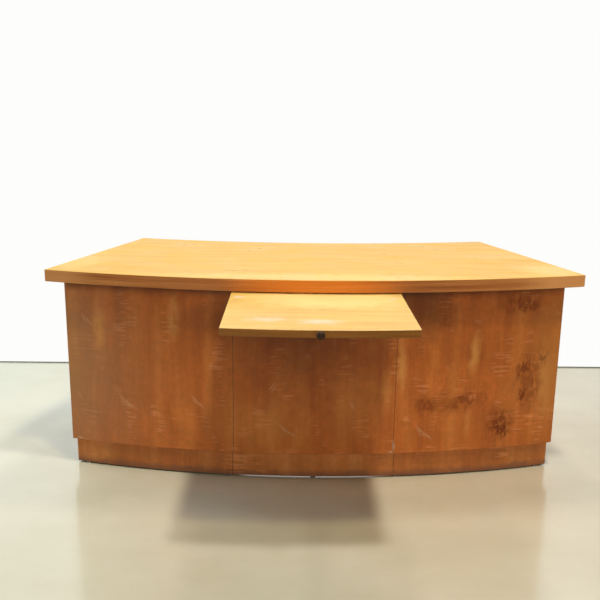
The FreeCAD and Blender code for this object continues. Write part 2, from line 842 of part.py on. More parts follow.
def make_slide():
    """Writing slide: board, bowed front lipping, two stop blocks under it and its knob."""
    reach = "slide_half_width"
    lipping = bowed_strip(negative(reach), reach, slide_y, "slide_bow_radius", "slide_board_radius")
    slab = [
        (negative(reach), slide_y(reach, "slide_board_radius"), Arc("slide_board_radius")),
        (reach, slide_y(reach, "slide_board_radius")),
        (reach, "slide_back"),
        (negative(reach), "slide_back"),
    ]
    stop = rectangle(
        "slide_stop_inset",
        "slide_stop_inset + slide_stop_length",
        "slide_stop_y + running_gap",
        "slide_stop_y + running_gap + slide_stop_width",
    )

    def stop_block(side):
        """Block on one side of the middle line."""
        return board(
            f"{side}_slide_stop", on_side(side, stop), "slide_base - slide_stop_height", "slide_stop_height"
        )

    knob_place = ("0", "slide_apex", "slide_base + slide_thickness / 2")
    keep(
        board("slide_board", slab, "slide_base", "slide_thickness"),
        board("slide_front_lipping", lipping, "slide_base", "slide_thickness"),
        group("slide_stops", both_sides(stop_block)),
        make_knob("slide_knob", knob_place, "180"),
    )


def make_glides():
    """Nailed furniture glides under the corners of both plinth frames and the centre plinth."""
    profile = [
        ("0", "0"),
        ("0", "glide_radius"),
        ("glide_height", "glide_radius"),
        ("glide_height", "0"),
    ]
    front_radius = "plinth_face_radius - plinth_thickness / 2"
    rear_radius = "plinth_rear_radius + plinth_thickness / 2"
    inner = "half_centre_plinth + plinth_thickness / 2"
    glides = []

    def glide(name, x, y):
        """Glide with its foot on the floor at this place in plan."""
        glides.append(turned(name, profile, (x, y, "0"), FreeCAD.Vector(1, 0, 0), "90"))

    for side in ("left", "right"):
        for place, x, y_at, radius in (
            ("front_outer", "plinth_inside_x - plinth_thickness", front_y, front_radius),
            ("front_inner", inner, front_y, front_radius),
            ("rear_outer", "plinth_rear_inner_x - plinth_thickness", rear_y, rear_radius),
            ("rear_inner", f"{inner} + plinth_thickness", rear_y, rear_radius),
        ):
            x_place = x if side == "right" else negative(x)
            glide(f"{side}_{place}_glide", x_place, y_at(x, radius))
    glide("centre_glide", "0", front_y("0", front_radius))
    keep(group("glides", glides))


def make_corner_blocks():
    """Glue blocks in the angle between the centre plinth and the pedestals' inner returns."""
    near = "half_centre_plinth - corner_block_size"
    corner_y = front_y("half_centre_plinth", "plinth_back_radius")
    outline = [
        (near, front_y(near, "plinth_back_radius"), Arc("plinth_back_radius")),
        ("half_centre_plinth", corner_y),
        ("half_centre_plinth", f"{corner_y} + corner_block_size"),
    ]

    def block(side):
        """Block on one side of the kneehole."""
        return board(f"{side}_corner_block", on_side(side, outline), "glide_height", "plinth_height")

    keep(group("plinth_corner_blocks", both_sides(block)))


def check_document():
    """Stop if any object failed, any node has no valid solid or any pocket cut nothing."""
    for item in DOC.Objects:
        if "Invalid" in item.State or "Error" in item.State:
            raise RuntimeError(f"{item.Label} failed: {item.State}")
        if item.TypeId == "PartDesign::Pocket":
            if item.BaseFeature.Shape.Volume - item.Shape.Volume < 1:
                raise RuntimeError(f"{item.Label} cuts nothing")
    for node in NODES:
        if node.Shape.isNull() or not node.Shape.isValid() or not node.Shape.Solids:
            raise RuntimeError(f"{node.Label} has no valid solid")


def write_nodes():
    """Write one STEP file for each node."""
    os.makedirs("parts", exist_ok=True)
    for node in NODES:
        node.Shape.exportStep(f"parts/{node.Label}.step")
        print(f"{node.Label}: {len(node.Shape.Solids)} solids, {node.Shape.Volume / 1000:.0f} cm3")


make_top()
for pedestal_side in ("left", "right"):
    make_pedestal(pedestal_side)
    make_plinth(pedestal_side)
    make_pedestal_drawers(pedestal_side)
make_centre_bay()
make_centre_drawer()
make_slide()
make_corner_blocks()
make_glides()
DOC.recompute()
check_document()
write_nodes()
print(f"{len(NODES)} nodes")
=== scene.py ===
import logging
import math
from dataclasses import dataclass, replace
from enum import Enum

import bpy
import numpy as np
from mathutils import Matrix, Vector


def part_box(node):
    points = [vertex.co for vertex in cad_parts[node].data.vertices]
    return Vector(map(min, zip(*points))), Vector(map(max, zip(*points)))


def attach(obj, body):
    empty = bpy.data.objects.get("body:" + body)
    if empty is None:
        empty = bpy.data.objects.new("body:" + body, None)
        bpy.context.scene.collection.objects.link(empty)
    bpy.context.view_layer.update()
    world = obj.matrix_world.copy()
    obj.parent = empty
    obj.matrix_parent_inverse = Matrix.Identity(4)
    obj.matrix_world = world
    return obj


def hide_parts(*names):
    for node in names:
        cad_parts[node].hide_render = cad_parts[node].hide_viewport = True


# The looks of a bow-front executive desk with a writing slide on the visitor's side.
#
# Frame: metres, +Z up, the floor at z = 0.  +X runs to the right as a visitor faces the desk and
# +Y from the visitor to the seated user.  The writing slide is pulled out at rest.
#
# Both long edges of the desk are arcs that bow towards the visitor, and its ends draw in towards
# the user.  Every curved board is therefore a ruled sheet between two such arcs.

LOG = logging.getLogger("desk")

Array = np.ndarray
Point = tuple[float, float, float]
Skin = tuple[Array, Array | list[list[int]], Array]
Socket = bpy.types.NodeSocket
Material = bpy.types.Material
Piece = bpy.types.Object

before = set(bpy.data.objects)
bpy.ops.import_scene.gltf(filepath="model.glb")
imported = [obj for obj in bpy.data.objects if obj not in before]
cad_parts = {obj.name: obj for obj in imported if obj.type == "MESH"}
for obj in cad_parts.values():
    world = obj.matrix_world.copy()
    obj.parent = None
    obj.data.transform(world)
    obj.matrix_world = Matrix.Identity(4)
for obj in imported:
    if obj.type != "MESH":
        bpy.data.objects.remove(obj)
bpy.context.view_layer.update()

SIDES = {"left": -1, "right": 1}


# ---------------------------------------------------------------- plan of the desk


@dataclass(frozen=True)
class Run:
    """Long edge of a board in plan, from one X to another.

    Attributes:
        low: X of the left end.
        high: X of the right end.
        bow: The arc that the edge follows, or None for a straight edge.
        level: Y of a straight edge.
    """

    low: float
    high: float
    bow: "Bow | None" = None
    level: float = 0.0

    def at(self, share: Array) -> Array:
        """Points of the edge.

        Args:
            share: Shares from 0 to 1 of the way from its left end to its right end.

        Returns:
            Rows of (x, y).
        """
        x = self.low + (self.high - self.low) * share
        y = self.bow.at(x) if self.bow else np.full_like(x, self.level)
        return np.stack([x, y], axis=-1)


@dataclass(frozen=True)
class Bow:
    """Arc in plan that bows towards the visitor.

    Attributes:
        centre: Y of the arc's centre, which lies on the desk's middle line.
        radius: Radius of the arc.
    """

    centre: float
    radius: float

    def at(self, x: Array | float) -> Array | float:
        """Y of the arc at x: the centre less the root of radius squared less x squared."""
        return self.centre - np.sqrt(self.radius**2 - np.square(x))

    def set_in(self, distance: float) -> "Bow":
        """The arc about the same centre with its radius shortened by distance."""
        return Bow(self.centre, self.radius - distance)

    def run(self, *ends: float) -> Run:
        """Edge along the arc between two X, given in either order."""
        return Run(min(ends), max(ends), self)


@dataclass(frozen=True)
class DeskPlan:
    """Plan of the whole desk: the two arcs and the end lines that every board follows.

    Attributes:
        front_width: Width of the top along its front corners.
        rear_width: Width of the top along its rear corners.
        depth: Depth of the top from its front corners to its rear corners.
        front_radius: Radius of the top's front edge.
        rear_radius: Radius of the top's rear edge.
        rear_corner: Y of the top's rear corners.
    """

    front_width: float = 1.900
    rear_width: float = 1.476
    depth: float = 0.723
    front_radius: float = 3.300
    rear_radius: float = 3.080
    rear_corner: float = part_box("top_rear_lipping")[1][1]

    @property
    def front_corner(self) -> float:
        """Y of the top's front corners."""
        return self.rear_corner - self.depth

    @property
    def taper(self) -> float:
        """How far an end line draws in for each metre of depth."""
        return (self.front_width - self.rear_width) / 2 / self.depth

    def front(self, inset: float) -> Bow:
        """Front arc of the desk, set in by inset."""
        reach = math.sqrt(self.front_radius**2 - (self.front_width / 2) ** 2)
        return Bow(self.front_corner + reach, self.front_radius).set_in(inset)

    def rear(self, inset: float) -> Bow:
        """Rear arc of the desk, set in by inset."""
        reach = math.sqrt(self.rear_radius**2 - (self.rear_width / 2) ** 2)
        return Bow(self.rear_corner + reach, self.rear_radius).set_in(-inset)

    def end_x(self, y: float, inset: float) -> float:
        """X at y of the right-hand end line, set in by inset at a right angle to it."""
        base = self.front_width / 2 + self.taper * self.front_corner
        return base - self.taper * y - inset * math.hypot(1, self.taper)

    def corner(self, inset: float, bow: Bow) -> float:
        """X where the right-hand end line, set in by inset, meets an arc.

        Substituting the line x = b - t y into the circle x^2 + (y - c)^2 = r^2 gives a quadratic
        in y, of which the smaller root lies on the visitor's side.

        Args:
            inset: Distance that the end line is set in.
            bow: The arc.

        Returns:
            X of the crossing.
        """
        base = self.end_x(0.0, inset)
        square = 1 + self.taper**2
        half = base * self.taper + bow.centre
        rest = base**2 + bow.centre**2 - bow.radius**2
        y = (half - math.sqrt(half**2 - square * rest)) / square
        return self.end_x(y, inset)

    def across(self, bow: Bow, inset: float) -> Run:
        """Edge along an arc, from one end line to the other, both set in by inset."""
        reach = self.corner(inset, bow)
        return bow.run(-reach, reach)

    def beside(self, side: int, bow: Bow, *insets: float) -> Run:
        """Short edge along an arc on one side, between the end line at two insets."""
        return bow.run(*(side * self.corner(inset, bow) for inset in insets))

    def bays(self, bows: tuple[Bow, Bow], half: float, inset: float) -> dict[str, list[Run]]:
        """Edges of a front in three boards: one in the middle and one on each side.

        Args:
            bows: Arcs of its face and its back.
            half: Half the width of the middle board.
            inset: Distance that the end line is set in.

        Returns:
            Both edges of each board, by the word for the board's place.
        """
        edges = {"centre": [bow.run(-half, half) for bow in bows]}
        for word, side in SIDES.items():
            edges[word] = [bow.run(side * half, side * self.corner(inset, bow)) for bow in bows]
        return edges


# ---------------------------------------------------------------- surfaces


def ticks(length: float, arris: float, step: float) -> Array:
    """Places of the grid lines along one side of a board.

    At each end there are lines at 0, at the middle of the arris, at its end and one guard line
    beyond it, which keeps smooth shading flat on the face. Between them the lines are even.

    Args:
        length: Length of the side.
        arris: Radius of the rounded arris.
        step: Greatest distance between lines.

    Returns:
        Rising array of places from 0 to length.
    """
    guard = min(2 * arris, (arris + length / 2) / 2)
    near = np.array([0.0, arris * (1 - math.tan(math.pi / 8)), arris, guard])
    count = max(1, math.ceil((length - 2 * guard) / step))
    middle = np.linspace(guard, length - guard, count + 1)
    return np.unique(np.round(np.concatenate([near, middle, length - near]), 9))


def rounded_box(size: Array, arris: float, step: float) -> Skin:
    """Closed skin of a box with rounded arrises.

    Each face is a grid of two parameters. A grid point p is drawn back onto the rounding: with q
    the point p held inside the box shrunk by the arris, it becomes q + arris * (p - q) / |p - q|.

    Args:
        size: Lengths of the box along X, Y and Z.
        arris: Radius of the arrises.
        step: Greatest size of a grid cell.

    Returns:
        Points, quads that face outwards, and for each point 1 on a rounding or 0 on a flat.
    """
    lines = [ticks(length, arris, step) for length in size]
    counts = tuple(len(line) for line in lines)
    skins = []
    for axis in range(3):
        first, second = (axis + 1) % 3, (axis + 2) % 3
        cells = np.meshgrid(np.arange(counts[first] - 1), np.arange(counts[second] - 1))
        along, across = (cell.ravel() for cell in cells)
        for end in (0, counts[axis] - 1):
            corners = []
            for step_first, step_second in ((0, 0), (1, 0), (1, 1), (0, 1)):
                place = [np.full_like(along, end)] * 3
                place[first] = along + step_first
                place[second] = across + step_second
                corners.append(np.ravel_multi_index(place, counts))
            skin = np.stack(corners, axis=1)
            skins.append(skin if end else skin[:, ::-1])
    used, quads = np.unique(np.concatenate(skins), return_inverse=True)
    places = np.unravel_index(used, counts)
    grid = np.stack([line[place] for line, place in zip(lines, places)], axis=1)
    core = np.clip(grid, arris, size - arris)
    away = grid - core
    points = core + arris * away / np.linalg.norm(away, axis=1, keepdims=True)
    rounding = (np.abs(away) > 1e-9).sum(axis=1) > 1
    return points, quads.reshape(-1, 4), rounding.astype(float)


def ruled_board(
    near: Run, far: Run, heights: tuple[float, float], arris: float, step: float = 0.02
) -> Skin:
    """Board between two long edges in plan, with rounded arrises.

    A rounded box as long, deep and high as the board is bent onto it: a share u of the length and
    v of the depth become (1 - v) * near(u) + v * far(u), and the height stays.

    Args:
        near: Edge on the visitor's side.
        far: Edge on the user's side.
        heights: Lowest and highest Z.
        arris: Radius of the arrises.
        step: Greatest size of a grid cell.

    Returns:
        Points, quads and the rounding's share of each point.
    """
    middle = np.array([0.5])
    depth = float(np.linalg.norm(far.at(middle) - near.at(middle)))
    size = np.array([near.high - near.low, depth, heights[1] - heights[0]])
    points, quads, rounding = rounded_box(size, arris, step)
    share = np.clip(points / size, 0, 1)
    sweep = share[:, 1:2]
    plan = (1 - sweep) * near.at(share[:, 0]) + sweep * far.at(share[:, 0])
    return np.column_stack([plan, heights[0] + points[:, 2]]), quads, rounding


def turned_skin(profile: Array, segments: int) -> tuple[Array, list[list[int]]]:
    """Closed skin turned about the Y axis.

    A profile row (d, r) at turn t becomes (r sin t, d, r cos t). The first and last rows lie on
    the axis and are one point each, so both poles are closed by fans.

    Args:
        profile: Rows of distance along the axis and radius, from one pole to the other.
        segments: Number of steps round the axis.

    Returns:
        Points and faces that face outwards.
    """
    turn = np.linspace(0, 2 * math.pi, segments, endpoint=False)
    distance, radius = profile[1:-1, :1], profile[1:-1, 1:]
    rings = np.stack(
        [radius * np.sin(turn), distance + 0 * turn, radius * np.cos(turn)], axis=-1
    ).reshape(-1, 3)
    poles = np.array([[0, profile[0, 0], 0], [0, profile[-1, 0], 0]])
    here = np.arange(segments)
    after = (here + 1) % segments
    starts = segments * np.arange(len(profile) - 3)[:, None]
    walls = np.stack(
        [starts + here, starts + after, starts + segments + after, starts + segments + here], axis=-1
    ).reshape(-1, 4)
    last = segments * (len(profile) - 3)
    first_fan = np.stack([after, here, np.full_like(here, len(rings))], axis=1)
    last_fan = np.stack([last + here, last + after, np.full_like(here, len(rings) + 1)], axis=1)
    faces = walls.tolist() + first_fan.tolist() + last_fan.tolist()
    return np.concatenate([rings, poles]), faces


def new_piece(node: str, body: str, slot: str, finish: Material, *skins: Skin) -> Piece:
    """Piece made of closed skins, which stands for a CAD node and rides on its body.

    Args:
        node: CAD node that it stands for.
        body: CAD body that carries it.
        slot: Material slot of the record. Not used.
        finish: Its material.
        skins: Points, faces and rounding of each skin.

    Returns:
        The piece.
    """
    offsets = np.cumsum([0] + [len(skin[0]) for skin in skins])
    points = np.concatenate([skin[0] for skin in skins])
    faces = [
        (np.asarray(face) + offset).tolist()
        for skin, offset in zip(skins, offsets)
        for face in skin[1]
    ]
    name = node + "_finish"
    mesh = bpy.data.meshes.new(name)
    mesh.from_pydata(points.tolist(), [], faces)
    mesh.polygons.foreach_set("use_smooth", np.ones(len(faces), dtype=bool))
    worn = mesh.attributes.new("arris", "FLOAT", "POINT")
    worn.data.foreach_set("value", np.concatenate([skin[2] for skin in skins]))
    mesh.validate()
    piece = bpy.data.objects.new(name, mesh)
    bpy.context.scene.collection.objects.link(piece)
    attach(piece, body)
    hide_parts(node)
    piece.data.materials.append(finish)
    return piece


def carcass_board(node: str, slot: str, edges: list[Run], arris: float, finish: Material) -> Piece:
    """Board of the carcass between two edges in plan, as high as the CAD node it stands for."""
    low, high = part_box(node)
    return new_piece(node, "carcass", slot, finish, ruled_board(*edges, (low[2], high[2]), arris))


def lay_over(piece: Piece, veneer: Material) -> None:
    """Give the faces of a lipping that look up the veneer of the board beside it.

    Args:
        piece: The lipping.
        veneer: Material of the board.
    """
    piece.data.materials.append(veneer)
    normals = np.empty(3 * len(piece.data.polygons))
    piece.data.polygons.foreach_get("normal", normals)
    covered = (normals[2::3] > 0.5).astype(np.int32)
    piece.data.polygons.foreach_set("material_index", covered)


# ---------------------------------------------------------------- shader graphs


def tone(code: str) -> tuple[float, float, float, float]:
    """Linear colour of a display code.

    Args:
        code: Six hexadecimal digits.

    Returns:
        Red, green, blue and full opacity.
    """
    shares = [int(code[place:place + 2], 16) / 255 for place in (0, 2, 4)]
    linear = [s / 12.92 if s <= 0.04045 else ((s + 0.055) / 1.055) ** 2.4 for s in shares]
    return (*linear, 1.0)


class Graph:
    """Node tree of a finish or of the world, with a short call for each kind of node in use."""

    def __init__(self, owner: Material | bpy.types.World) -> None:
        """Start an empty tree.

        Args:
            owner: Material or world that the tree belongs to.
        """
        owner.use_nodes = True
        self.owner = owner
        self.tree = owner.node_tree
        self.tree.nodes.clear()

    def node(self, kind: str, inputs: dict[int | str, object], **settings: object) -> bpy.types.Node:
        """Add a node.

        Args:
            kind: Node type without its ShaderNode prefix.
            inputs: Sockets to link, or values to set, by input name or number.
            settings: Properties of the node.

        Returns:
            The node.
        """
        made = self.tree.nodes.new("ShaderNode" + kind)
        for key, setting in settings.items():
            setattr(made, key, setting)
        for key, content in inputs.items():
            if isinstance(content, Socket):
                self.tree.links.new(content, made.inputs[key])
            else:
                made.inputs[key].default_value = content
        return made

    def math(self, operation: str, first: object, second: object = 0.0) -> Socket:
        """Result of a scalar operation on one or two inputs."""
        return self.node("Math", {0: first, 1: second}, operation=operation).outputs[0]

    def vector_math(self, operation: str, inputs: dict[int | str, object]) -> Socket:
        """Vector that comes out of an operation on vectors."""
        return self.node("VectorMath", inputs, operation=operation).outputs[0]

    def place(self) -> Socket:
        """Place of the point, in metres, in the piece's own frame."""
        return self.node("TexCoord", {}).outputs["Object"]

    def toward(self, direction: Point) -> Socket:
        """How far the point lies in a direction."""
        inputs = {0: self.place(), 1: direction}
        return self.node("VectorMath", inputs, operation="DOT_PRODUCT").outputs["Value"]

    def vector(self, x: object, y: object, z: object = 0.0) -> Socket:
        """Vector put together from three inputs."""
        return self.node("CombineXYZ", {0: x, 1: y, 2: z}).outputs[0]

    def noise(self, vector: Socket, cell: Point, detail: float = 2.0, roughness: float = 0.5) -> Socket:
        """Cloudy noise.

        Args:
            vector: Place of the point.
            cell: Size of its cells along each axis.
            detail: Number of finer layers.
            roughness: Strength of each finer layer.

        Returns:
            A value from 0 to 1.
        """
        scaled = self.vector_math("DIVIDE", {0: vector, 1: cell})
        inputs = {"Vector": scaled, "Scale": 1.0, "Detail": detail, "Roughness": roughness}
        return self.node("TexNoise", inputs).outputs[0]

    def between(
        self, amount: Socket, low: float, high: float, start: object = 0.0, end: object = 1.0
    ) -> Socket:
        """Smooth step from start to end while amount goes from low to high."""
        inputs = {0: amount, 1: low, 2: high, 3: start, 4: end}
        return self.node("MapRange", inputs, interpolation_type="SMOOTHSTEP").outputs[0]

    def ramp(self, amount: Socket, stops: dict[float, str]) -> Socket:
        """Colour that runs through display codes.

        Args:
            amount: Where on the ramp to look.
            stops: Display codes by their places from 0 to 1.

        Returns:
            The colour.
        """
        made = self.node("ValToRGB", {0: amount})
        elements = made.color_ramp.elements
        while len(elements) < len(stops):
            elements.new(0.5)
        for element, (place, code) in zip(elements, stops.items()):
            element.position = place
            element.color = tone(code)
        return made.outputs[0]

    def mix(self, amount: object, first: object, second: object, blend: str = "MIX") -> Socket:
        """Colour between two colours, or one laid on the other by a blend."""
        inputs = {0: amount, 6: first, 7: second}
        return self.node("Mix", inputs, data_type="RGBA", blend_type=blend).outputs[2]

    def shaded(self, colour: Socket, amount: Socket, strength: float) -> Socket:
        """Colour made lighter or darker.

        Args:
            colour: Colour to change.
            amount: Amount from 0 to 1, and 0.5 where nothing changes.
            strength: Largest share that is added or taken away.

        Returns:
            The changed colour.
        """
        swing = self.math("ADD", self.math("MULTIPLY", amount, 2 * strength), 1 - strength)
        grey = self.node("CombineColor", {0: swing, 1: swing, 2: swing}).outputs[0]
        return self.mix(1.0, colour, grey, "MULTIPLY")

    def bump(self, height: Socket, distance: float, strength: float = 1.0) -> Socket:
        """Normal bent by a height."""
        inputs = {"Height": height, "Distance": distance, "Strength": strength}
        return self.node("Bump", inputs).outputs[0]

    def finish(self, **inputs: object) -> Material:
        """Close the graph with a principled surface.

        Args:
            inputs: Names of its sockets, with underscores for blanks, and what they get.

        Returns:
            The material.
        """
        named = {key.replace("_", " "): content for key, content in inputs.items()}
        surface = self.node("BsdfPrincipled", named).outputs[0]
        self.node("OutputMaterial", {0: surface})
        return self.owner


# ---------------------------------------------------------------- finishes


class GrainWay(Enum):
    """Way that the grain of a board runs: the directions across it and along it."""

    LENGTHWISE = ((0, 1, 0), (1, 0, 0))
    UPRIGHT = ((1, 0, 0), (0, 0, 1))
    UPRIGHT_END = ((0, 1, 0), (0, 0, 1))
    UPRIGHT_ROUND = ((0.7, 0.7, 0), (0, 0, 1))
    EDGE_LENGTHWISE = ((0, 0, 1), (1, 0, 0))
    EDGE_CROSSWISE = ((0, 0, 1), (0, 1, 0))
    SOLID_CROSSWISE = ((0.9, 0, 1), (0, 1, 0))


# Cell sizes of the noises that figure the wood, in metres: across the grain, along it, and the
# third makes boards of different seeds differ.
CLOUDS = (0.09, 0.13, 0.09)
SHIMMER = (0.014, 0.022, 0.02)
GRAIN_LINES = (0.0035, 0.14, 0.03)
PORES = (0.0009, 0.008, 0.004)
BARS = (0.075, 0.0085, 0.05)
BAR_PATCHES = (0.08, 0.13, 0.2)
RUBBING = (0.01, 0.03, 0.01)
SMEARS = (0.12, 0.2, 0.12)
RAGGED_FOOT = (0.07, 0.07, 0.07)
RAGGED_MARK = (0.04, 0.04, 0.04)

# Display codes of what lies over the wood's own colours.
LIT_BAR = "ffd2a8"
SCUFFED_FOOT = "7c5a4c"
DARK_SEAM = "381606"


@dataclass(frozen=True)
class Look:
    """How one kind of mark shows: a blemish, a patch of painted light, or painted shade.

    Attributes:
        colour: Display code of its colour.
        ragged: How far its edge wanders, in metres.
        core: Share of its radius where it is at full strength.
        gaps: Share of it that specks leave out.
        cell: Size of the specks, across and along the grain, in metres.
    """

    colour: str
    ragged: float
    core: float = 0.0
    gaps: float = 0.0
    cell: tuple[float, float] = (0.2, 0.2)


class MarkKind(Enum):
    """Kinds of mark on a polished veneer: blemishes that years of light and use leave, and painted light
    and shade.
    """

    # Painted shade: darker brown where the top's overhang and the slide shade the front.
    PAINTED_SHADE = Look("4c2006", 0.05)
    # Sun bleaching on the top; on the slide, painted light that makes its back paler where the top's
    # overhang shades it.
    BLEACH_AND_PAINTED_LIGHT = Look("ffe698", 0.05, 0.3, 0.10, (0.05, 0.20))
    # Painted sheen: a pale cool haze where window light reflects off the polish.
    PAINTED_SHEEN = Look("cc9c74", 0.06)
    # Painted bounce light: orange where light from a bright board below falls on an edge.
    PAINTED_BOUNCE_LIGHT = Look("f48c1c", 0.02, 0.2)
    # Painted light: paler brown where more light falls on the front.
    PAINTED_LIGHT = Look("eca458", 0.06)
    DAMP = Look("a45c22", 0.05, 0.0, 0.25, (0.06, 0.06))
    STAIN = Look("7c3208", 0.03, 0.25, 0.42, (0.012, 0.026))
    FLAME = Look("f6b264", 0.016, 0.0, 0.28, (0.014, 0.080))
    SCUFF = Look("ecb888", 0.008, 0.0, 0.38, (0.0035, 0.012))
    BLOOM = Look("ffeee8", 0.03, 0.0, 0.10, (0.05, 0.05))
    # Painted shadow: near-black where one board overhangs another.
    PAINTED_CONTACT_SHADOW = Look("200c04", 0.004)
    PALER = Look("ffbc78", 0.02, 0.2)
    CHIP = Look("f6ead8", 0.003, 0.3, 0.45, (0.0016, 0.003))


@dataclass(frozen=True)
class Mark:
    """One mark on a board: a blemish, a patch of painted light, or painted shade.

    Attributes:
        kind: Kind of mark.
        across: Place of its middle across the grain, in metres.
        along: Place of its middle along the grain, in metres.
        width: Half its width.
        length: Half its length.
        tilt: Turn from the grain, in degrees.
        strength: How much it covers, from 0 to 1.
    """

    kind: MarkKind
    across: float
    along: float
    width: float
    length: float
    tilt: float
    strength: float


def marks(kind: MarkKind, *rows: tuple[float, ...]) -> tuple[Mark, ...]:
    """Marks of one kind: rows of across, along, width, length, tilt and strength."""
    return tuple(Mark(kind, *row) for row in rows)


def brushed(across: float, along: float, size: float, tilt: float, strokes: int = 3) -> tuple[Mark, ...]:
    """Scuff of a few strokes side by side, each turned a little more than the last.

    Args:
        across: Place of its middle across the grain, in metres.
        along: Place of its middle along the grain, in metres.
        size: Half the length of a stroke.
        tilt: Turn of the middle stroke from the grain, in degrees.
        strokes: Number of strokes.

    Returns:
        One mark for each stroke.
    """
    steps = [stroke - (strokes - 1) / 2 for stroke in range(strokes)]
    rows = (
        (across + 0.3 * size * step, along - 0.2 * size * step, 0.12 * size, size, tilt + 9 * step, 0.70)
        for step in steps
    )
    return marks(MarkKind.SCUFF, *rows)


@dataclass(frozen=True)
class Wood:
    """Polished wood: its colours, its figure, its wear, its painted light and shade, and its sheen.

    Attributes:
        name: Name of the material.
        deep: Display code of the darkest streaks.
        middle: Display code of most of the wood.
        pale: Display code of the palest streaks.
        way: Way that the grain runs.
        streak: Size of the broad streaks across and along the grain, in metres.
        lines: Strength of the fine grain lines.
        mottle: Strength of the cloudy light and shade.
        ripple: Strength of the cross figure.
        roughness: Roughness of the polish.
        specular: Strength of the polish's reflection.
        worn: Display code of an arris that is rubbed bare or dirty; on the top and the slide it is also
            a painted highlight along the arris.
        rubbed: How much of the arrises is worn, from 0 to 1.
        foot: Height up to which the foot of a board is scuffed, in metres; 0 leaves it clean.
        seams: X of dark joints between upright boards.
        marks: Blemishes, and patches of painted light and shade.
        seed: Number that gives each wood its own figure.
    """

    name: str
    deep: str
    middle: str
    pale: str
    way: GrainWay
    streak: tuple[float, float] = (0.05, 0.9)
    lines: float = 0.10
    mottle: float = 0.15
    ripple: float = 0.0
    roughness: float = 0.35
    specular: float = 0.5
    worn: str = "d8a97a"
    rubbed: float = 0.5
    foot: float = 0.0
    seams: tuple[float, ...] = ()
    marks: tuple[Mark, ...] = ()
    seed: float = 0.0

    def material(self) -> Material:
        """Build the material.

        The broad streaks are noise stretched along the grain, run through the three colours. Fine
        lines, pores and cross figure are narrower noises that darken or lighten it, and each also
        raises or lowers the surface a little.

        Returns:
            The material.
        """
        graph = Graph(bpy.data.materials.new(self.name))
        across, along = (graph.toward(direction) for direction in self.way.value)
        plane = graph.vector(across, along, self.seed)
        wander = graph.noise(plane, (5 * self.streak[0], 0.8 * self.streak[1], 0.25))
        sway = graph.math("MULTIPLY", graph.math("SUBTRACT", wander, 0.5), 1.2 * self.streak[0])
        grain = graph.vector_math("ADD", {0: plane, 1: graph.vector(sway, 0.0)})

        broad = graph.noise(grain, (*self.streak, 0.3), 4.0)
        colour = graph.ramp(broad, {0.32: self.deep, 0.5: self.middle, 0.70: self.pale})
        colour = graph.shaded(colour, graph.noise(plane, CLOUDS, 3.0, 0.6), self.mottle)
        colour = graph.shaded(colour, graph.noise(plane, SHIMMER, 2.0, 0.6), 0.5 * self.mottle)
        lines = graph.noise(grain, GRAIN_LINES, 2.0, 0.6)
        colour = graph.shaded(colour, lines, self.lines)
        pores = graph.between(graph.noise(grain, PORES, 1.0), 0.52, 0.66)
        colour = graph.mix(graph.math("MULTIPLY", pores, 0.25), colour, tone(self.deep))
        height = graph.math("MULTIPLY", graph.math("SUBTRACT", lines, pores), 0.5)
        if self.ripple:
            wave = self.cross_figure(graph, plane, grain)
            colour = graph.shaded(colour, graph.math("ADD", wave, 0.5), 0.6 * self.ripple)
            colour = graph.mix(graph.math("MULTIPLY", wave, 1.4 * self.ripple), colour, tone(LIT_BAR))
            height = graph.math("ADD", height, graph.math("MULTIPLY", wave, 0.8))

        colour = self.with_marks(graph, plane, colour)
        arris = graph.node("Attribute", {}, attribute_name="arris").outputs["Fac"]
        rubbing = graph.between(graph.noise(plane, RUBBING), 0.35, 0.6, 0.2, self.rubbed)
        # Rubbed arrises; the pale colour of the top's and the slide's arrises is also a painted
        # highlight.
        colour = graph.mix(graph.math("MULTIPLY", arris, rubbing), colour, tone(self.worn))
        smears = graph.noise(plane, SMEARS, 3.0)
        return graph.finish(
            Base_Color=colour,
            Roughness=graph.between(smears, 0.25, 0.75, self.roughness - 0.07, self.roughness + 0.09),
            Specular_IOR_Level=self.specular,
            Normal=graph.bump(height, distance=0.0004, strength=0.5),
        )

    def cross_figure(self, graph: Graph, plane: Socket, grain: Socket) -> Socket:
        """Narrow bars of light and shade that lie across the grain, in patches.

        Args:
            graph: Graph of the finish.
            plane: Place across and along the grain.
            grain: The same place, swayed as the grain sways.

        Returns:
            A wave about 0.
        """
        spread = graph.between(graph.noise(plane, BAR_PATCHES), 0.53, 0.64, 0.04, 1.0)
        crisp = graph.between(graph.noise(grain, BARS, 1.0), 0.44, 0.64, -0.25, 0.75)
        return graph.math("MULTIPLY", crisp, spread)

    def with_marks(self, graph: Graph, plane: Socket, colour: Socket) -> Socket:
        """Lay the scuffed foot, the marks and the seams over the polished colour.

        Args:
            graph: Graph of the finish.
            plane: Place across and along the grain.
            colour: Colour so far.

        Returns:
            Colour with the scuffed foot, the marks and the seams.
        """
        if self.foot:
            ragged = graph.noise(plane, RAGGED_FOOT, 4.0, 0.65)
            drift = graph.math("MULTIPLY", graph.math("SUBTRACT", ragged, 0.5), 0.05)
            level = graph.math("ADD", graph.toward((0, 0, 1)), drift)
            cover = graph.between(level, 0.2 * self.foot, self.foot, 0.7, 0.0)
            colour = graph.mix(cover, colour, tone(SCUFFED_FOOT))
        for kind in MarkKind:
            found = [mark for mark in self.marks if mark.kind is kind]
            if found:
                cover = self.coverage(graph, plane, kind.value, found)
                colour = graph.mix(cover, colour, tone(kind.value.colour))
        for seam in self.seams:
            away = graph.math("ABSOLUTE", graph.math("SUBTRACT", graph.toward((1, 0, 0)), seam))
            colour = graph.mix(graph.between(away, 0.0003, 0.0018, 0.8, 0.0), colour, tone(DARK_SEAM))
        return colour

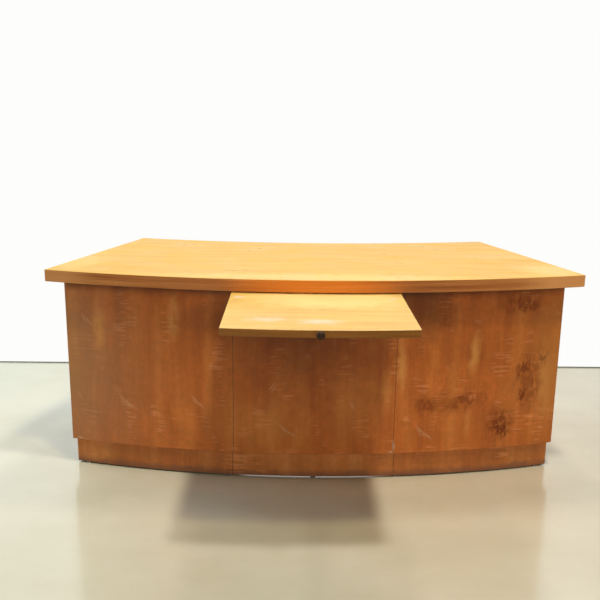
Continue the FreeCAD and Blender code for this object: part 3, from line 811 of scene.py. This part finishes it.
    def coverage(self, graph: Graph, plane: Socket, look: Look, found: list[Mark]) -> Socket:
        """How much marks of one kind cover, from 0 to 1.

        A mark is an ellipse: its reach falls smoothly from full strength in its core to nothing
        at its edge, and specks of noise break it up.

        Args:
            graph: Graph of the finish.
            plane: Place across and along the grain.
            look: How this kind of blemish shows.
            found: Its marks.

        Returns:
            The cover.
        """
        scaled = graph.vector_math("DIVIDE", {0: plane, 1: RAGGED_MARK})
        edge = graph.node("TexNoise", {"Vector": scaled, "Scale": 1.0}).outputs[1]
        drift = graph.vector_math("SUBTRACT", {0: edge, 1: (0.5, 0.5, 0.5)})
        reach = graph.vector_math("SCALE", {0: drift, "Scale": 2 * look.ragged})
        place = graph.vector_math("ADD", {0: plane, 1: reach})
        cover = None
        for mark in found:
            inputs = {
                "Vector": place,
                "Location": (mark.across, mark.along, 0.0),
                "Rotation": (0.0, 0.0, math.radians(mark.tilt)),
                "Scale": (mark.width, mark.length, 1e3),
            }
            local = graph.node("Mapping", inputs, vector_type="TEXTURE").outputs[0]
            distance = graph.node("VectorMath", {0: local}, operation="LENGTH").outputs["Value"]
            spot = graph.between(distance, look.core, 1.0, mark.strength, 0.0)
            cover = spot if cover is None else graph.math("MAXIMUM", cover, spot)
        specks = graph.noise(plane, (*look.cell, 0.02), 2.0, 0.55)
        return graph.math("MULTIPLY", cover, graph.between(specks, look.gaps - 0.08, look.gaps + 0.16))


@dataclass(frozen=True)
class Ebonised:
    """Dark-stained turned wood with a rubbed rim.

    Attributes:
        name: Name of the material.
        dark: Display code of the stain.
        rubbed: Display code where the stain has worn thin.
    """

    name: str = "ebonised_knob"
    dark: str = "34200e"
    rubbed: str = "6e4826"

    def material(self) -> Material:
        """Build the material: noise stretched along the turning shows the grain through the stain.

        Returns:
            The material.
        """
        graph = Graph(bpy.data.materials.new(self.name))
        grain = graph.noise(graph.place(), (0.0012, 0.012, 0.0012), 3.0)
        wear = graph.noise(graph.place(), (0.006, 0.006, 0.006), 3.0)
        colour = graph.mix(graph.between(wear, 0.5, 0.72, 0.0, 0.8), tone(self.dark), tone(self.rubbed))
        return graph.finish(
            Base_Color=graph.shaded(colour, grain, 0.25),
            Roughness=graph.between(wear, 0.3, 0.7, 0.42, 0.6),
            Specular_IOR_Level=0.25,
            Normal=graph.bump(grain, distance=0.0002, strength=0.4),
        )


@dataclass(frozen=True)
class NailedMetal:
    """Dull plated steel of the furniture glides, with dirt from the floor."""

    name: str = "glide_steel"

    def material(self) -> Material:
        """Build the material: cloudy dirt dulls the plating.

        Returns:
            The material.
        """
        graph = Graph(bpy.data.materials.new(self.name))
        dirt = graph.noise(graph.place(), (0.004, 0.004, 0.004), 4.0)
        return graph.finish(
            Base_Color=graph.ramp(dirt, {0.4: "8d8a84", 0.7: "4a443c"}),
            Roughness=graph.between(dirt, 0.3, 0.7, 0.3, 0.65),
            Metallic=0.9,
            Normal=graph.bump(dirt, distance=0.0001),
        )


# Blemishes, and patches of painted light and shade, by place across and along the grain.
PANEL_MARKS = (
    # Painted shade: a band under the top, a patch under the slide and one right of it below the top.
    *marks(
        MarkKind.PAINTED_SHADE,
        (0.0, 0.74, 2.0, 0.17, 0, 0.4),
        (-0.03, 0.62, 0.56, 0.5, 0, 0.8),
        (0.36, 0.66, 0.24, 0.22, 0, 0.7),
    ),
    # Painted shadow: a dark band on the panels just under the top's overhang.
    *marks(MarkKind.PAINTED_CONTACT_SHADOW, (0.0, 0.716, 4.0, 0.06, 0, 0.95)),
    # Painted light on both ends of the front, which face the side light, and on the lower middle below
    # the slide's shadow.
    *marks(
        MarkKind.PAINTED_LIGHT,
        (0.95, 0.42, 0.3, 0.4, 0, 0.68),
        (-1.0, 0.45, 0.22, 0.46, 0, 0.5),
        (-0.2, 0.2, 0.26, 0.16, 0, 0.34),
        (0.13, 0.29, 0.14, 0.18, 0, 0.34),
    ),
    # Painted sheen of the left window on the left end of the front.
    *marks(
        MarkKind.PAINTED_SHEEN,
        (-1.0, 0.62, 0.14, 0.16, 0, 0.4),
        (-0.95, 0.36, 0.5, 0.6, 0, 0.72),
    ),
    *marks(
        MarkKind.DAMP,
        (0.48, 0.285, 0.17, 0.07, 5, 0.5),
        (0.688, 0.2, 0.08, 0.1, 0, 0.6),
        (0.765, 0.35, 0.06, 0.15, 3, 0.45),
        (0.742, 0.645, 0.15, 0.06, 0, 0.5),
    ),
    *marks(
        MarkKind.FLAME,
        (-0.774, 0.54, 0.03, 0.12, 4, 0.75),
        (-0.497, 0.59, 0.028, 0.12, -3, 0.7),
        (0.572, 0.47, 0.026, 0.12, -6, 0.9),
        (0.308, 0.43, 0.024, 0.14, 2, 0.7),
        (0.255, 0.33, 0.036, 0.13, 0, 0.4),
        (0.56, 0.2, 0.024, 0.08, 0, 0.4),
        (0.85, 0.33, 0.04, 0.2, 3, 0.45),
    ),
    *marks(
        MarkKind.STAIN,
        (0.684, 0.187, 0.056, 0.072, 0, 0.95),
        (0.742, 0.645, 0.1, 0.05, 0, 0.65),
        (0.766, 0.405, 0.048, 0.07, -14, 0.75),
        (0.767, 0.301, 0.03, 0.07, 0, 0.8),
        (0.835, 0.434, 0.016, 0.03, -20, 0.7),
        (0.534, 0.29, 0.08, 0.05, 8, 0.6),
        (0.398, 0.277, 0.06, 0.044, 0, 0.55),
        (0.61, 0.3, 0.03, 0.08, 0, 0.35),
        (0.8, 0.35, 0.05, 0.15, -4, 0.45),
    ),
    *marks(
        MarkKind.CHIP,
        (0.288, 0.128, 0.006, 0.028, 4, 0.9),
        (0.282, 0.104, 0.014, 0.005, 0, 0.9),
        (-0.868, 0.104, 0.016, 0.004, 0, 0.8),
    ),
    *brushed(-0.817, 0.562, 0.034, 28),
    *brushed(-0.678, 0.264, 0.04, 38, 4),
    *brushed(-0.418, 0.283, 0.036, 32),
    *brushed(-0.86, 0.277, 0.028, 20, 2),
    *brushed(-0.146, 0.351, 0.03, -35, 2),
    *brushed(-0.103, 0.19, 0.045, 50),
    *brushed(0.134, 0.287, 0.026, 25, 2),
    *brushed(0.396, 0.173, 0.038, 35, 4),
)
SLIDE_MARKS = (
    # Painted light: the back of the slide made paler where the top's overhang shades it.
    *marks(MarkKind.BLEACH_AND_PAINTED_LIGHT, (-0.24, 0.05, 0.2, 0.42, 0, 1.0)),
    *marks(
        MarkKind.BLOOM,
        (-0.526, -0.16, 0.05, 0.09, 0, 0.42),
        (-0.55, 0.0, 0.045, 0.1, 0, 0.52),
        (-0.247, -0.258, 0.022, 0.026, 0, 0.8),
        (-0.253, 0.249, 0.018, 0.022, 0, 0.7),
    ),
)
TOP_MARKS = marks(
    MarkKind.BLEACH_AND_PAINTED_LIGHT,
    (-0.14, 0.0, 0.08, 0.75, 0, 0.45),
    (0.02, 0.86, 0.16, 0.16, 0, 0.45),
    (0.1, -0.88, 0.2, 0.14, 0, 0.3),
)
EDGE_MARKS = (
    # Painted bounce light from the slide on the middle of the top's front edge.
    *marks(MarkKind.PAINTED_BOUNCE_LIGHT, (0.73, -0.01, 0.2, 0.34, 0, 0.55)),
    *marks(MarkKind.PALER, (0.73, -0.93, 0.2, 0.2, 0, 0.65), (0.73, 0.9, 0.2, 0.26, 0, 0.9)),
)

# Its pale arris colour is partly wear, partly a painted highlight along the front arris.
TOP_VENEER = Wood(
    "top_veneer", "e4b244", "eabc4e", "f0c65c", GrainWay.LENGTHWISE,
    streak=(0.030, 0.5), lines=0.05, mottle=0.05, ripple=0.05,
    roughness=0.33, specular=0.1, worn="f6cf84", marks=TOP_MARKS,
)
# Its pale arris colour is partly wear, partly a painted highlight along the front arris.
SLIDE_VENEER = Wood(
    "slide_veneer", "e4ba58", "ecc462", "f0ce72", GrainWay.LENGTHWISE,
    streak=(0.028, 0.35), lines=0.08, mottle=0.06,
    roughness=0.32, specular=0.2, worn="ffe2b0", rubbed=0.9, marks=SLIDE_MARKS, seed=2.3,
)
EDGE_WOOD = Wood(
    "top_lipping", "a86230", "c47c40", "da9656", GrainWay.EDGE_LENGTHWISE,
    streak=(0.010, 0.45), lines=0.20, mottle=0.10, specular=0.3, marks=EDGE_MARKS, seed=3.1,
)
END_WOOD = replace(EDGE_WOOD, name="end_lipping", way=GrainWay.EDGE_CROSSWISE, marks=())
RAIL_WOOD = replace(
    EDGE_WOOD, name="case_rail_wood", deep="b0622e", middle="c67438", pale="d48444", marks=(), seed=4.4
)
SLIDE_EDGE_WOOD = Wood(
    "slide_lipping", "8c5a1a", "a26c28", "b47e36", GrainWay.EDGE_LENGTHWISE,
    streak=(0.008, 0.5), lines=0.16, mottle=0.10, specular=0.3, seed=4.7,
)
PANEL_VENEER = Wood(
    "panel_veneer", "c87034", "da7e3a", "e8924a", GrainWay.UPRIGHT,
    streak=(0.060, 0.8), lines=0.14, mottle=0.34, ripple=0.17,
    roughness=0.42, specular=0.3, rubbed=0.35, seams=(-0.288, 0.288), marks=PANEL_MARKS,
)
PLAIN_VENEER = replace(PANEL_VENEER, seams=(), marks=())
SIDE_VENEER = replace(PLAIN_VENEER, name="side_veneer", way=GrainWay.UPRIGHT_END, seed=5.2)
KNEEHOLE_VENEER = replace(PLAIN_VENEER, name="kneehole_veneer", way=GrainWay.UPRIGHT_ROUND, seed=3.4)
DRAWER_VENEER = replace(PLAIN_VENEER, name="drawer_front_veneer", seed=8.8)
PLINTH_VENEER = replace(
    PANEL_VENEER, name="plinth_front_veneer", deep="c87840", middle="d88848", pale="e69a5a",
    roughness=0.45, foot=0.040, seams=(-0.293, 0.293),
    # Painted shadow: a thin dark line on the plinth just under the panels' lower edge.
    marks=marks(MarkKind.PAINTED_CONTACT_SHADOW, (0.0, 0.104, 4.0, 0.016, 0, 0.9)), seed=6.4,
)
PLINTH_FRAME_VENEER = replace(
    PLINTH_VENEER, name="plinth_frame_veneer", way=GrainWay.UPRIGHT_ROUND, seams=(), seed=7.1
)
INNER_WOOD = Wood(
    "inner_wood", "b88c58", "cca470", "dab888", GrainWay.SOLID_CROSSWISE,
    streak=(0.04, 0.6), lines=0.12, roughness=0.6, rubbed=0.2, seed=9.6,
)


# ---------------------------------------------------------------- sub-assemblies


@dataclass(frozen=True)
class Desktop:
    """Veneered top board and the solid lippings round it.

    Attributes:
        plan: Plan of the desk.
        lipping: Width of the lippings.
        arris: Radius of the lippings' arrises.
        core_arris: Radius of the board's own arrises, between the lippings.
    """

    plan: DeskPlan
    lipping: float = 0.006
    arris: float = 0.0008
    core_arris: float = 0.0002

    def build(self) -> list[Piece]:
        """Build the board and its lippings.

        Returns:
            The pieces.
        """
        plan, width, arris = self.plan, self.lipping, self.arris
        low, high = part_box("top_board")
        heights = (low[2], high[2])
        front, inner_front = plan.front(0), plan.front(width)
        rear, inner_rear = plan.rear(0), plan.rear(width)
        inner_edges = plan.across(inner_front, width), plan.across(inner_rear, width)
        core = ruled_board(*inner_edges, heights, self.core_arris)
        front_strip = ruled_board(plan.across(front, 0), plan.across(inner_front, 0), heights, arris)
        rear_strip = ruled_board(plan.across(inner_rear, 0), plan.across(rear, 0), heights, arris)
        ends = []
        for side in SIDES.values():
            edges = (plan.beside(side, bow, 0, width) for bow in (inner_front, inner_rear))
            ends.append(ruled_board(*edges, heights, arris))
        veneer, edge_wood = TOP_VENEER.material(), EDGE_WOOD.material()
        pieces = [new_piece("top_board", "carcass", "top_veneer", veneer, core)]
        for node, finish, skins in (
            ("top_front_lipping", edge_wood, [front_strip]),
            ("top_rear_lipping", edge_wood, [rear_strip]),
            ("top_end_lippings", END_WOOD.material(), ends),
        ):
            strip = new_piece(node, "carcass", "top_lipping", finish, *skins)
            lay_over(strip, veneer)
            pieces.append(strip)
        return pieces


@dataclass(frozen=True)
class FrontPanels:
    """Three bowed front panels and the two drawn-in sides.

    Attributes:
        plan: Plan of the desk.
        front_overhang: How far the top stands over the panels.
        side_overhang: How far the top stands over the sides.
        rear_overhang: How far the top stands over the user's side.
        thickness: Thickness of the panels.
        arris: Radius of the arrises.
    """

    plan: DeskPlan
    front_overhang: float = 0.060
    side_overhang: float = 0.037
    rear_overhang: float = 0.030
    thickness: float = 0.019
    arris: float = 0.0010

    def build(self) -> list[Piece]:
        """Build the panels and sides.

        Returns:
            The pieces.
        """
        face = self.plan.front(self.front_overhang)
        back = face.set_in(self.thickness)
        rear = self.plan.rear(self.rear_overhang)
        half_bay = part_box("centre_front_panel")[1][0]
        outer, inner = self.side_overhang, self.side_overhang + self.thickness
        veneer = PANEL_VENEER.material()
        pieces = [
            carcass_board(f"{word}_front_panel", "panel_veneer", edges, self.arris, veneer)
            for word, edges in self.plan.bays((face, back), half_bay, outer).items()
        ]
        veneer = SIDE_VENEER.material()
        for word, side in SIDES.items():
            edges = [self.plan.beside(side, bow, outer, inner) for bow in (back, rear)]
            pieces.append(carcass_board(f"{word}_outer_side", "panel_veneer", edges, self.arris, veneer))
        return pieces


@dataclass(frozen=True)
class PlinthFronts:
    """Recessed plinth under the front panels.

    Attributes:
        panels: The panels above it.
        recess: How far it stands back from them.
        thickness: Thickness of its boards.
        arris: Radius of the arrises.
    """

    panels: FrontPanels
    recess: float = 0.011
    thickness: float = 0.018
    arris: float = 0.0012

    def build(self) -> list[Piece]:
        """Build the three plinth fronts.

        Returns:
            The pieces.
        """
        plan = self.panels.plan
        face = plan.front(self.panels.front_overhang + self.recess)
        bows = (face, face.set_in(self.thickness))
        half_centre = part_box("centre_plinth")[1][0]
        inset = self.panels.side_overhang + self.recess
        veneer = PLINTH_VENEER.material()
        pieces = []
        for word, edges in plan.bays(bows, half_centre, inset).items():
            node = "centre_plinth" if word == "centre" else f"{word}_plinth_front"
            pieces.append(carcass_board(node, "plinth_veneer", edges, self.arris, veneer))
        return pieces


@dataclass(frozen=True)
class TurnedKnob:
    """Round knob: a foot, a waisted neck and a domed head.

    Attributes:
        finish: Its material.
        length: Length along its axis.
        radius: Radius of its head.
        foot_radius: Radius of its foot.
        neck_radius: Radius of its waist.
        segments: Steps round its axis.
        head_steps: Grid lines of its head.
    """

    finish: Material
    length: float = 0.022
    radius: float = 0.0125
    foot_radius: float = 0.0062
    neck_radius: float = 0.0050
    segments: int = 48
    head_steps: int = 22

    def skin(self) -> Skin:
        """Skin about the Y axis, its foot at 0.

        The head is half an ellipse from the waist round the rim to a flattened face.

        Returns:
            Points, faces and the rounding's share of each point.
        """
        waist = 0.30 * self.length
        middle = (waist + self.length) / 2
        swing = np.linspace(0.84 * math.pi, 0.0, self.head_steps)
        distance = middle + (self.length - middle) * np.cos(swing)
        head = np.column_stack([distance, self.radius * np.sin(swing) ** 0.75])
        head[-1, 1] = 0.0
        foot = np.array(
            [
                [0.0, 0.0],
                [0.0, 0.94 * self.foot_radius],
                [0.03 * self.length, self.foot_radius],
                [0.10 * self.length, self.foot_radius],
                [0.14 * self.length, 0.93 * self.foot_radius],
                [0.22 * self.length, self.neck_radius],
            ]
        )
        profile = np.concatenate([foot, head[head[:, 0] > 0.24 * self.length]])
        points, faces = turned_skin(profile, self.segments)
        return points, faces, np.zeros(len(points))

    def build(self, node: str, body: str, turn: float) -> Piece:
        """Build the knob where its node is.

        Args:
            node: CAD node that it stands for.
            body: CAD body that carries it.
            turn: Turn about the upright, in degrees, from facing the user.

        Returns:
            The piece.
        """
        low, high = (np.array(corner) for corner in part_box(node))
        angle = math.radians(turn)
        ahead = np.array([-math.sin(angle), math.cos(angle), 0.0])
        aside = np.array([math.cos(angle), math.sin(angle), 0.0])
        points, faces, rounding = self.skin()
        start = (low + high) / 2 - ahead * self.length / 2
        placed = start + points[:, :1] * aside + points[:, 1:2] * ahead + points[:, 2:] * [0, 0, 1]
        return new_piece(node, body, "knob", self.finish, (placed, faces, rounding))


@dataclass(frozen=True)
class WritingSlide:
    """Writing slide: its board, its bowed lipping and its knob.

    Attributes:
        bow_radius: Radius of its front edge.
        lipping: Width of its lipping.
        arris: Radius of the arrises.
    """

    bow_radius: float = 2.600
    lipping: float = 0.010
    arris: float = 0.0010

    def build(self, knob: TurnedKnob) -> list[Piece]:
        """Build the slide.

        Args:
            knob: Its knob.

        Returns:
            The pieces.
        """
        low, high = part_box("slide_board")
        heights = (low[2], high[2])
        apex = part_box("slide_front_lipping")[0][1]
        bow = Bow(apex + self.bow_radius, self.bow_radius)
        front = bow.run(low[0], high[0])
        inner = bow.set_in(self.lipping).run(low[0], high[0])
        back = Run(low[0], high[0], None, high[1])
        board = ruled_board(inner, back, heights, self.arris)
        strip = ruled_board(front, inner, heights, self.arris)
        body, veneer, edge_wood = "writing_slide", SLIDE_VENEER.material(), SLIDE_EDGE_WOOD.material()
        board_piece = new_piece("slide_board", body, "slide_veneer", veneer, board)
        strip_piece = new_piece("slide_front_lipping", body, "slide_lipping", edge_wood, strip)
        lay_over(strip_piece, veneer)
        return [board_piece, strip_piece, knob.build("slide_knob", body, 180.0)]


@dataclass(frozen=True)
class DrawerFronts:
    """Curved fronts and knobs of the seven drawers.

    Attributes:
        panels: The panels, which give the rear face of the carcass.
        thickness: Thickness of the fronts.
        arris: Radius of the arrises.
    """

    panels: FrontPanels
    thickness: float = 0.020
    arris: float = 0.0010

    def build(self, knob: TurnedKnob) -> list[Piece]:
        """Build the fronts and their knobs.

        Args:
            knob: The knob of every drawer.

        Returns:
            The pieces.
        """
        face = self.panels.plan.rear(self.panels.rear_overhang)
        inside = face.set_in(-self.thickness)
        veneer = DRAWER_VENEER.material()
        levels = ("bottom", "middle", "top")
        drawers = [f"{side}_{level}_drawer" for side in SIDES for level in levels]
        pieces = []
        for drawer in drawers + ["centre_drawer"]:
            low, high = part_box(drawer + "_front")
            edges = (bow.run(low[0], high[0]) for bow in (inside, face))
            skin = ruled_board(*edges, (low[2], high[2]), self.arris)
            turn = math.degrees(math.asin((low[0] + high[0]) / 2 / face.radius))
            pieces.append(new_piece(drawer + "_front", drawer, "front_veneer", veneer, skin))
            pieces.append(knob.build(drawer + "_knob", drawer, turn))
        return pieces


def dress_inner_nodes() -> int:
    """Give every CAD node that still shows its finish.

    Returns:
        How many there are.
    """
    finishes = {
        ("glides",): NailedMetal().material(),
        ("_plinth_frame",): PLINTH_FRAME_VENEER.material(),
        ("kneehole_rail", "_inner_side"): KNEEHOLE_VENEER.material(),
        ("_dust_boards", "_bottom_board", "_top_rails"): RAIL_WOOD.material(),
    }
    inner = INNER_WOOD.material()
    shown = 0
    for name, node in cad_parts.items():
        if node.hide_render:
            continue
        found = (finish for endings, finish in finishes.items() if name.endswith(endings))
        finish = next(found, inner)
        for material_slot in node.material_slots:
            material_slot.material = finish
        shown += 1
    return shown


# ---------------------------------------------------------------- studio and camera


@dataclass(frozen=True)
class Lamp:
    """Soft rectangular lamp.

    Attributes:
        name: Name of the lamp.
        place: Where it hangs.
        aim: Where it points.
        size: Its width and height.
        power: Its power in watts.
        colour: Display code of its light.
    """

    name: str
    place: Point
    aim: Point
    size: tuple[float, float]
    power: float
    colour: str

    def build(self) -> None:
        """Hang the lamp."""
        light = bpy.data.lights.new(self.name, "AREA")
        light.shape = "RECTANGLE"
        light.size, light.size_y = self.size
        light.energy = self.power
        light.color = tone(self.colour)[:3]
        lamp = bpy.data.objects.new(self.name, light)
        lamp.location = self.place
        direction = Vector(self.aim) - Vector(self.place)
        lamp.rotation_euler = direction.to_track_quat("-Z", "Y").to_euler()
        bpy.context.scene.collection.objects.link(lamp)


CEILING = 4.7
LAMPS = (
    Lamp("near_ceiling_lamp", (0.70, -1.83, CEILING), (0, 0, 0.4), (0.35, 0.35), 50.0, "ffe4a8"),
    Lamp("far_ceiling_lamp", (0.70, -0.96, CEILING), (0, 0, 0.4), (0.35, 0.35), 82.0, "fff5ee"),
    Lamp("left_wall_lamp", (-1.8, 1.05, CEILING), (-0.3, 0.1, 0.4), (0.4, 0.4), 21.0, "fff0f0"),
    Lamp("middle_wall_lamp", (0.3, 1.05, CEILING), (0.3, 0.1, 0.4), (0.4, 0.4), 26.0, "ffeade"),
    Lamp("right_wall_lamp", (1.8, 1.05, CEILING), (0.3, 0.1, 0.4), (0.4, 0.4), 16.0, "ffeade"),
    Lamp("left_window", (-4.2, 0.9, 2.2), (-0.9, -0.3, 0.0), (2.4, 1.8), 108.0, "d0f2ff"),
    Lamp("front_room", (1.0, -8.0, 2.7), (0.0, 0.0, 0.3), (1.0, 0.6), 56.0, "fff0d8"),
    Lamp("right_room", (4.0, -6.5, 2.9), (0.0, 0.0, 0.3), (1.0, 0.6), 42.0, "ffe6c8"),
    Lamp("left_room", (-3.0, -8.0, 0.9), (0.0, 0.0, 0.3), (2.0, 1.0), 44.0, "ffe4cc"),
    Lamp("rear_room", (0.0, 5.5, 2.8), (0.0, 0.6, 0.4), (5.0, 2.0), 70.0, "ffffff"),
)


@dataclass(frozen=True)
class Studio:
    """Plain pale floor, white backdrop behind the desk and soft light.

    Attributes:
        floor_reach: Half the width of the floor.
        backdrop_y: Y where the backdrop meets the floor.
        backdrop_height: Height of the backdrop.
        gap_height: Height of the painted shadow line at the backdrop's foot.
        floor_gloss: Refractive index of the floor's sealer.
        floor_bounce: Display code of the light that the floor sends back to the desk.
        white: Brightness of the backdrop and the surroundings as the camera sees them.
        reflected: Brightness of the surroundings in reflections.
        surround: Brightness of the surroundings as light.
    """

    floor_reach: float = 9.0
    backdrop_y: float = 1.193
    backdrop_height: float = 5.0
    gap_height: float = 0.006
    floor_gloss: float = 2.1
    floor_bounce: str = "7e7a6a"
    white: float = 0.985
    reflected: float = 0.5
    surround: float = 0.035

    def floor_finish(self) -> Material:
        """Build the material of polished pale concrete: cloudy noise tints it and varies its polish.

        Returns:
            The material.
        """
        graph = Graph(bpy.data.materials.new("polished_floor"))
        clouds = graph.noise(graph.place(), (0.5, 0.35, 1.0), 5.0, 0.6)
        specks = graph.noise(graph.place(), (0.02, 0.02, 1.0), 3.0, 0.6)
        colour = graph.shaded(graph.ramp(clouds, {0.30: "d9d8c0", 0.70: "e6e6d2"}), specks, 0.02)
        path = graph.node("LightPath", {}).outputs
        seen = graph.math("MAXIMUM", path["Is Camera Ray"], path["Is Glossy Ray"])
        seen = graph.math("MAXIMUM", seen, path["Is Transmission Ray"])
        return graph.finish(
            Base_Color=graph.mix(seen, tone(self.floor_bounce), colour),
            Roughness=graph.between(clouds, 0.3, 0.7, 0.13, 0.18),
            IOR=self.floor_gloss,
            Normal=graph.bump(clouds, distance=0.002, strength=0.1),
        )

    def backdrop_finish(self, name: str, colour: str, strength: float) -> Material:
        """Build a plain finish that is clear from behind, so that the desk's back shows.

        Args:
            name: Name of the material.
            colour: Display code of its front.
            strength: Brightness of its front.

        Returns:
            The material.
        """
        graph = Graph(bpy.data.materials.new(name))
        glow = graph.node("Emission", {"Color": tone(colour), "Strength": strength}).outputs[0]
        clear = graph.node("BsdfTransparent", {}).outputs[0]
        behind = graph.node("NewGeometry", {}).outputs["Backfacing"]
        surface = graph.node("MixShader", {0: behind, 1: glow, 2: clear}).outputs[0]
        graph.node("OutputMaterial", {0: surface})
        return graph.owner

    def sheet(self, name: str, corners: list[Point], finish: Material) -> Piece:
        """Build a flat sheet of the studio.

        Args:
            name: Name of the sheet.
            corners: Its four corners in turn.
            finish: Its material.

        Returns:
            The sheet.
        """
        mesh = bpy.data.meshes.new(name)
        mesh.from_pydata(corners, [], [(0, 1, 2, 3)])
        mesh.materials.append(finish)
        sheet = bpy.data.objects.new(name, mesh)
        bpy.context.scene.collection.objects.link(sheet)
        return sheet

    def upright(self, name: str, y: float, height: float, finish: Material) -> None:
        """Build a sheet that stands behind the desk and neither lights it nor throws a shadow.

        Args:
            name: Name of the sheet.
            y: Where it stands.
            height: Its height.
            finish: Its material.
        """
        reach = self.floor_reach
        corners = [(-reach, y, 0), (reach, y, 0), (reach, y, height), (-reach, y, height)]
        sheet = self.sheet(name, corners, finish)
        sheet.visible_diffuse = False
        sheet.visible_shadow = False

    def build(self) -> None:
        """Build the floor, the backdrop, the surroundings and the lamps."""
        reach = self.floor_reach
        corners = [(-reach, -reach, 0), (reach, -reach, 0), (reach, reach, 0), (-reach, reach, 0)]
        self.sheet("floor", corners, self.floor_finish())
        backdrop = self.backdrop_finish("white_backdrop", "fffffd", self.white)
        self.upright("backdrop", self.backdrop_y, self.backdrop_height, backdrop)
        # Painted shadow: a faintly glowing grey strip where the backdrop meets the floor.
        foot = self.backdrop_finish("painted_wall_shadow", "8a8a80", 0.5)
        self.upright("painted_wall_shadow", self.backdrop_y - 0.001, self.gap_height, foot)
        self.surroundings()
        for lamp in LAMPS:
            lamp.build()

    def surroundings(self) -> None:
        """World that lights the desk a little, shows dim in reflections and white to the camera."""
        world = bpy.data.worlds.new("surroundings")
        bpy.context.scene.world = world
        graph = Graph(world)
        path = graph.node("LightPath", {}).outputs
        dim = graph.between(path["Is Glossy Ray"], 0.0, 1.0, self.surround, self.reflected)
        seen = graph.math("MAXIMUM", path["Is Camera Ray"], path["Is Transmission Ray"])
        strength = graph.between(seen, 0.0, 1.0, dim, self.white)
        background = graph.node("Background", {"Strength": strength}).outputs[0]
        graph.node("OutputWorld", {0: background})


@dataclass(frozen=True)
class ReferenceCamera:
    """Camera in front of the desk, a little above its top.

    Attributes:
        eye: Where it stands.
        yaw: Turn to the right of straight ahead, in degrees.
        pitch: Tilt down, in degrees.
        roll: Turn about its own line of sight, in degrees.
        focal: Focal length in pixels of its square frame.
        frame_width: Width of that frame in pixels.
        sensor: Width of its sensor in millimetres.
    """

    eye: Point = (-0.0778, -2.7783, 1.2981)
    yaw: float = 0.5
    pitch: float = 13.4
    roll: float = 0.7
    focal: float = 791.2
    frame_width: float = 600.0
    sensor: float = 36.0

    def build(self) -> None:
        """Build the camera and make it the scene's."""
        yaw, pitch, roll = (math.radians(angle) for angle in (self.yaw, self.pitch, self.roll))
        ahead = Vector(
            (math.sin(yaw) * math.cos(pitch), math.cos(yaw) * math.cos(pitch), -math.sin(pitch))
        )
        level = Vector((math.cos(yaw), -math.sin(yaw), 0.0))
        above = level.cross(ahead)
        right = level * math.cos(roll) + above * math.sin(roll)
        up = above * math.cos(roll) - level * math.sin(roll)
        lens = bpy.data.cameras.new("reference_camera")
        lens.sensor_width = self.sensor
        lens.lens = self.focal * self.sensor / self.frame_width
        camera = bpy.data.objects.new("reference_camera", lens)
        turn = Matrix((right, up, -ahead)).transposed()
        camera.matrix_world = Matrix.Translation(self.eye) @ turn.to_4x4()
        bpy.context.scene.collection.objects.link(camera)
        bpy.context.scene.camera = camera


def main() -> None:
    """Build the desk's pieces in order, then the studio and the camera."""
    logging.basicConfig(level=logging.INFO, format="%(name)s: %(message)s")
    bpy.context.scene.view_settings.view_transform = "Standard"
    ReferenceCamera().build()
    plan = DeskPlan()
    panels = FrontPanels(plan)
    knob = TurnedKnob(Ebonised().material())
    pieces = Desktop(plan).build()
    pieces += panels.build()
    pieces += PlinthFronts(panels).build()
    pieces += WritingSlide().build(knob)
    pieces += DrawerFronts(panels).build(knob)
    for piece in pieces:
        LOG.info("%s: %d points", piece.name, len(piece.data.vertices))
    LOG.info("%d CAD nodes keep their own mesh", dress_inner_nodes())
    Studio().build()


if __name__ == "__main__":
    main()
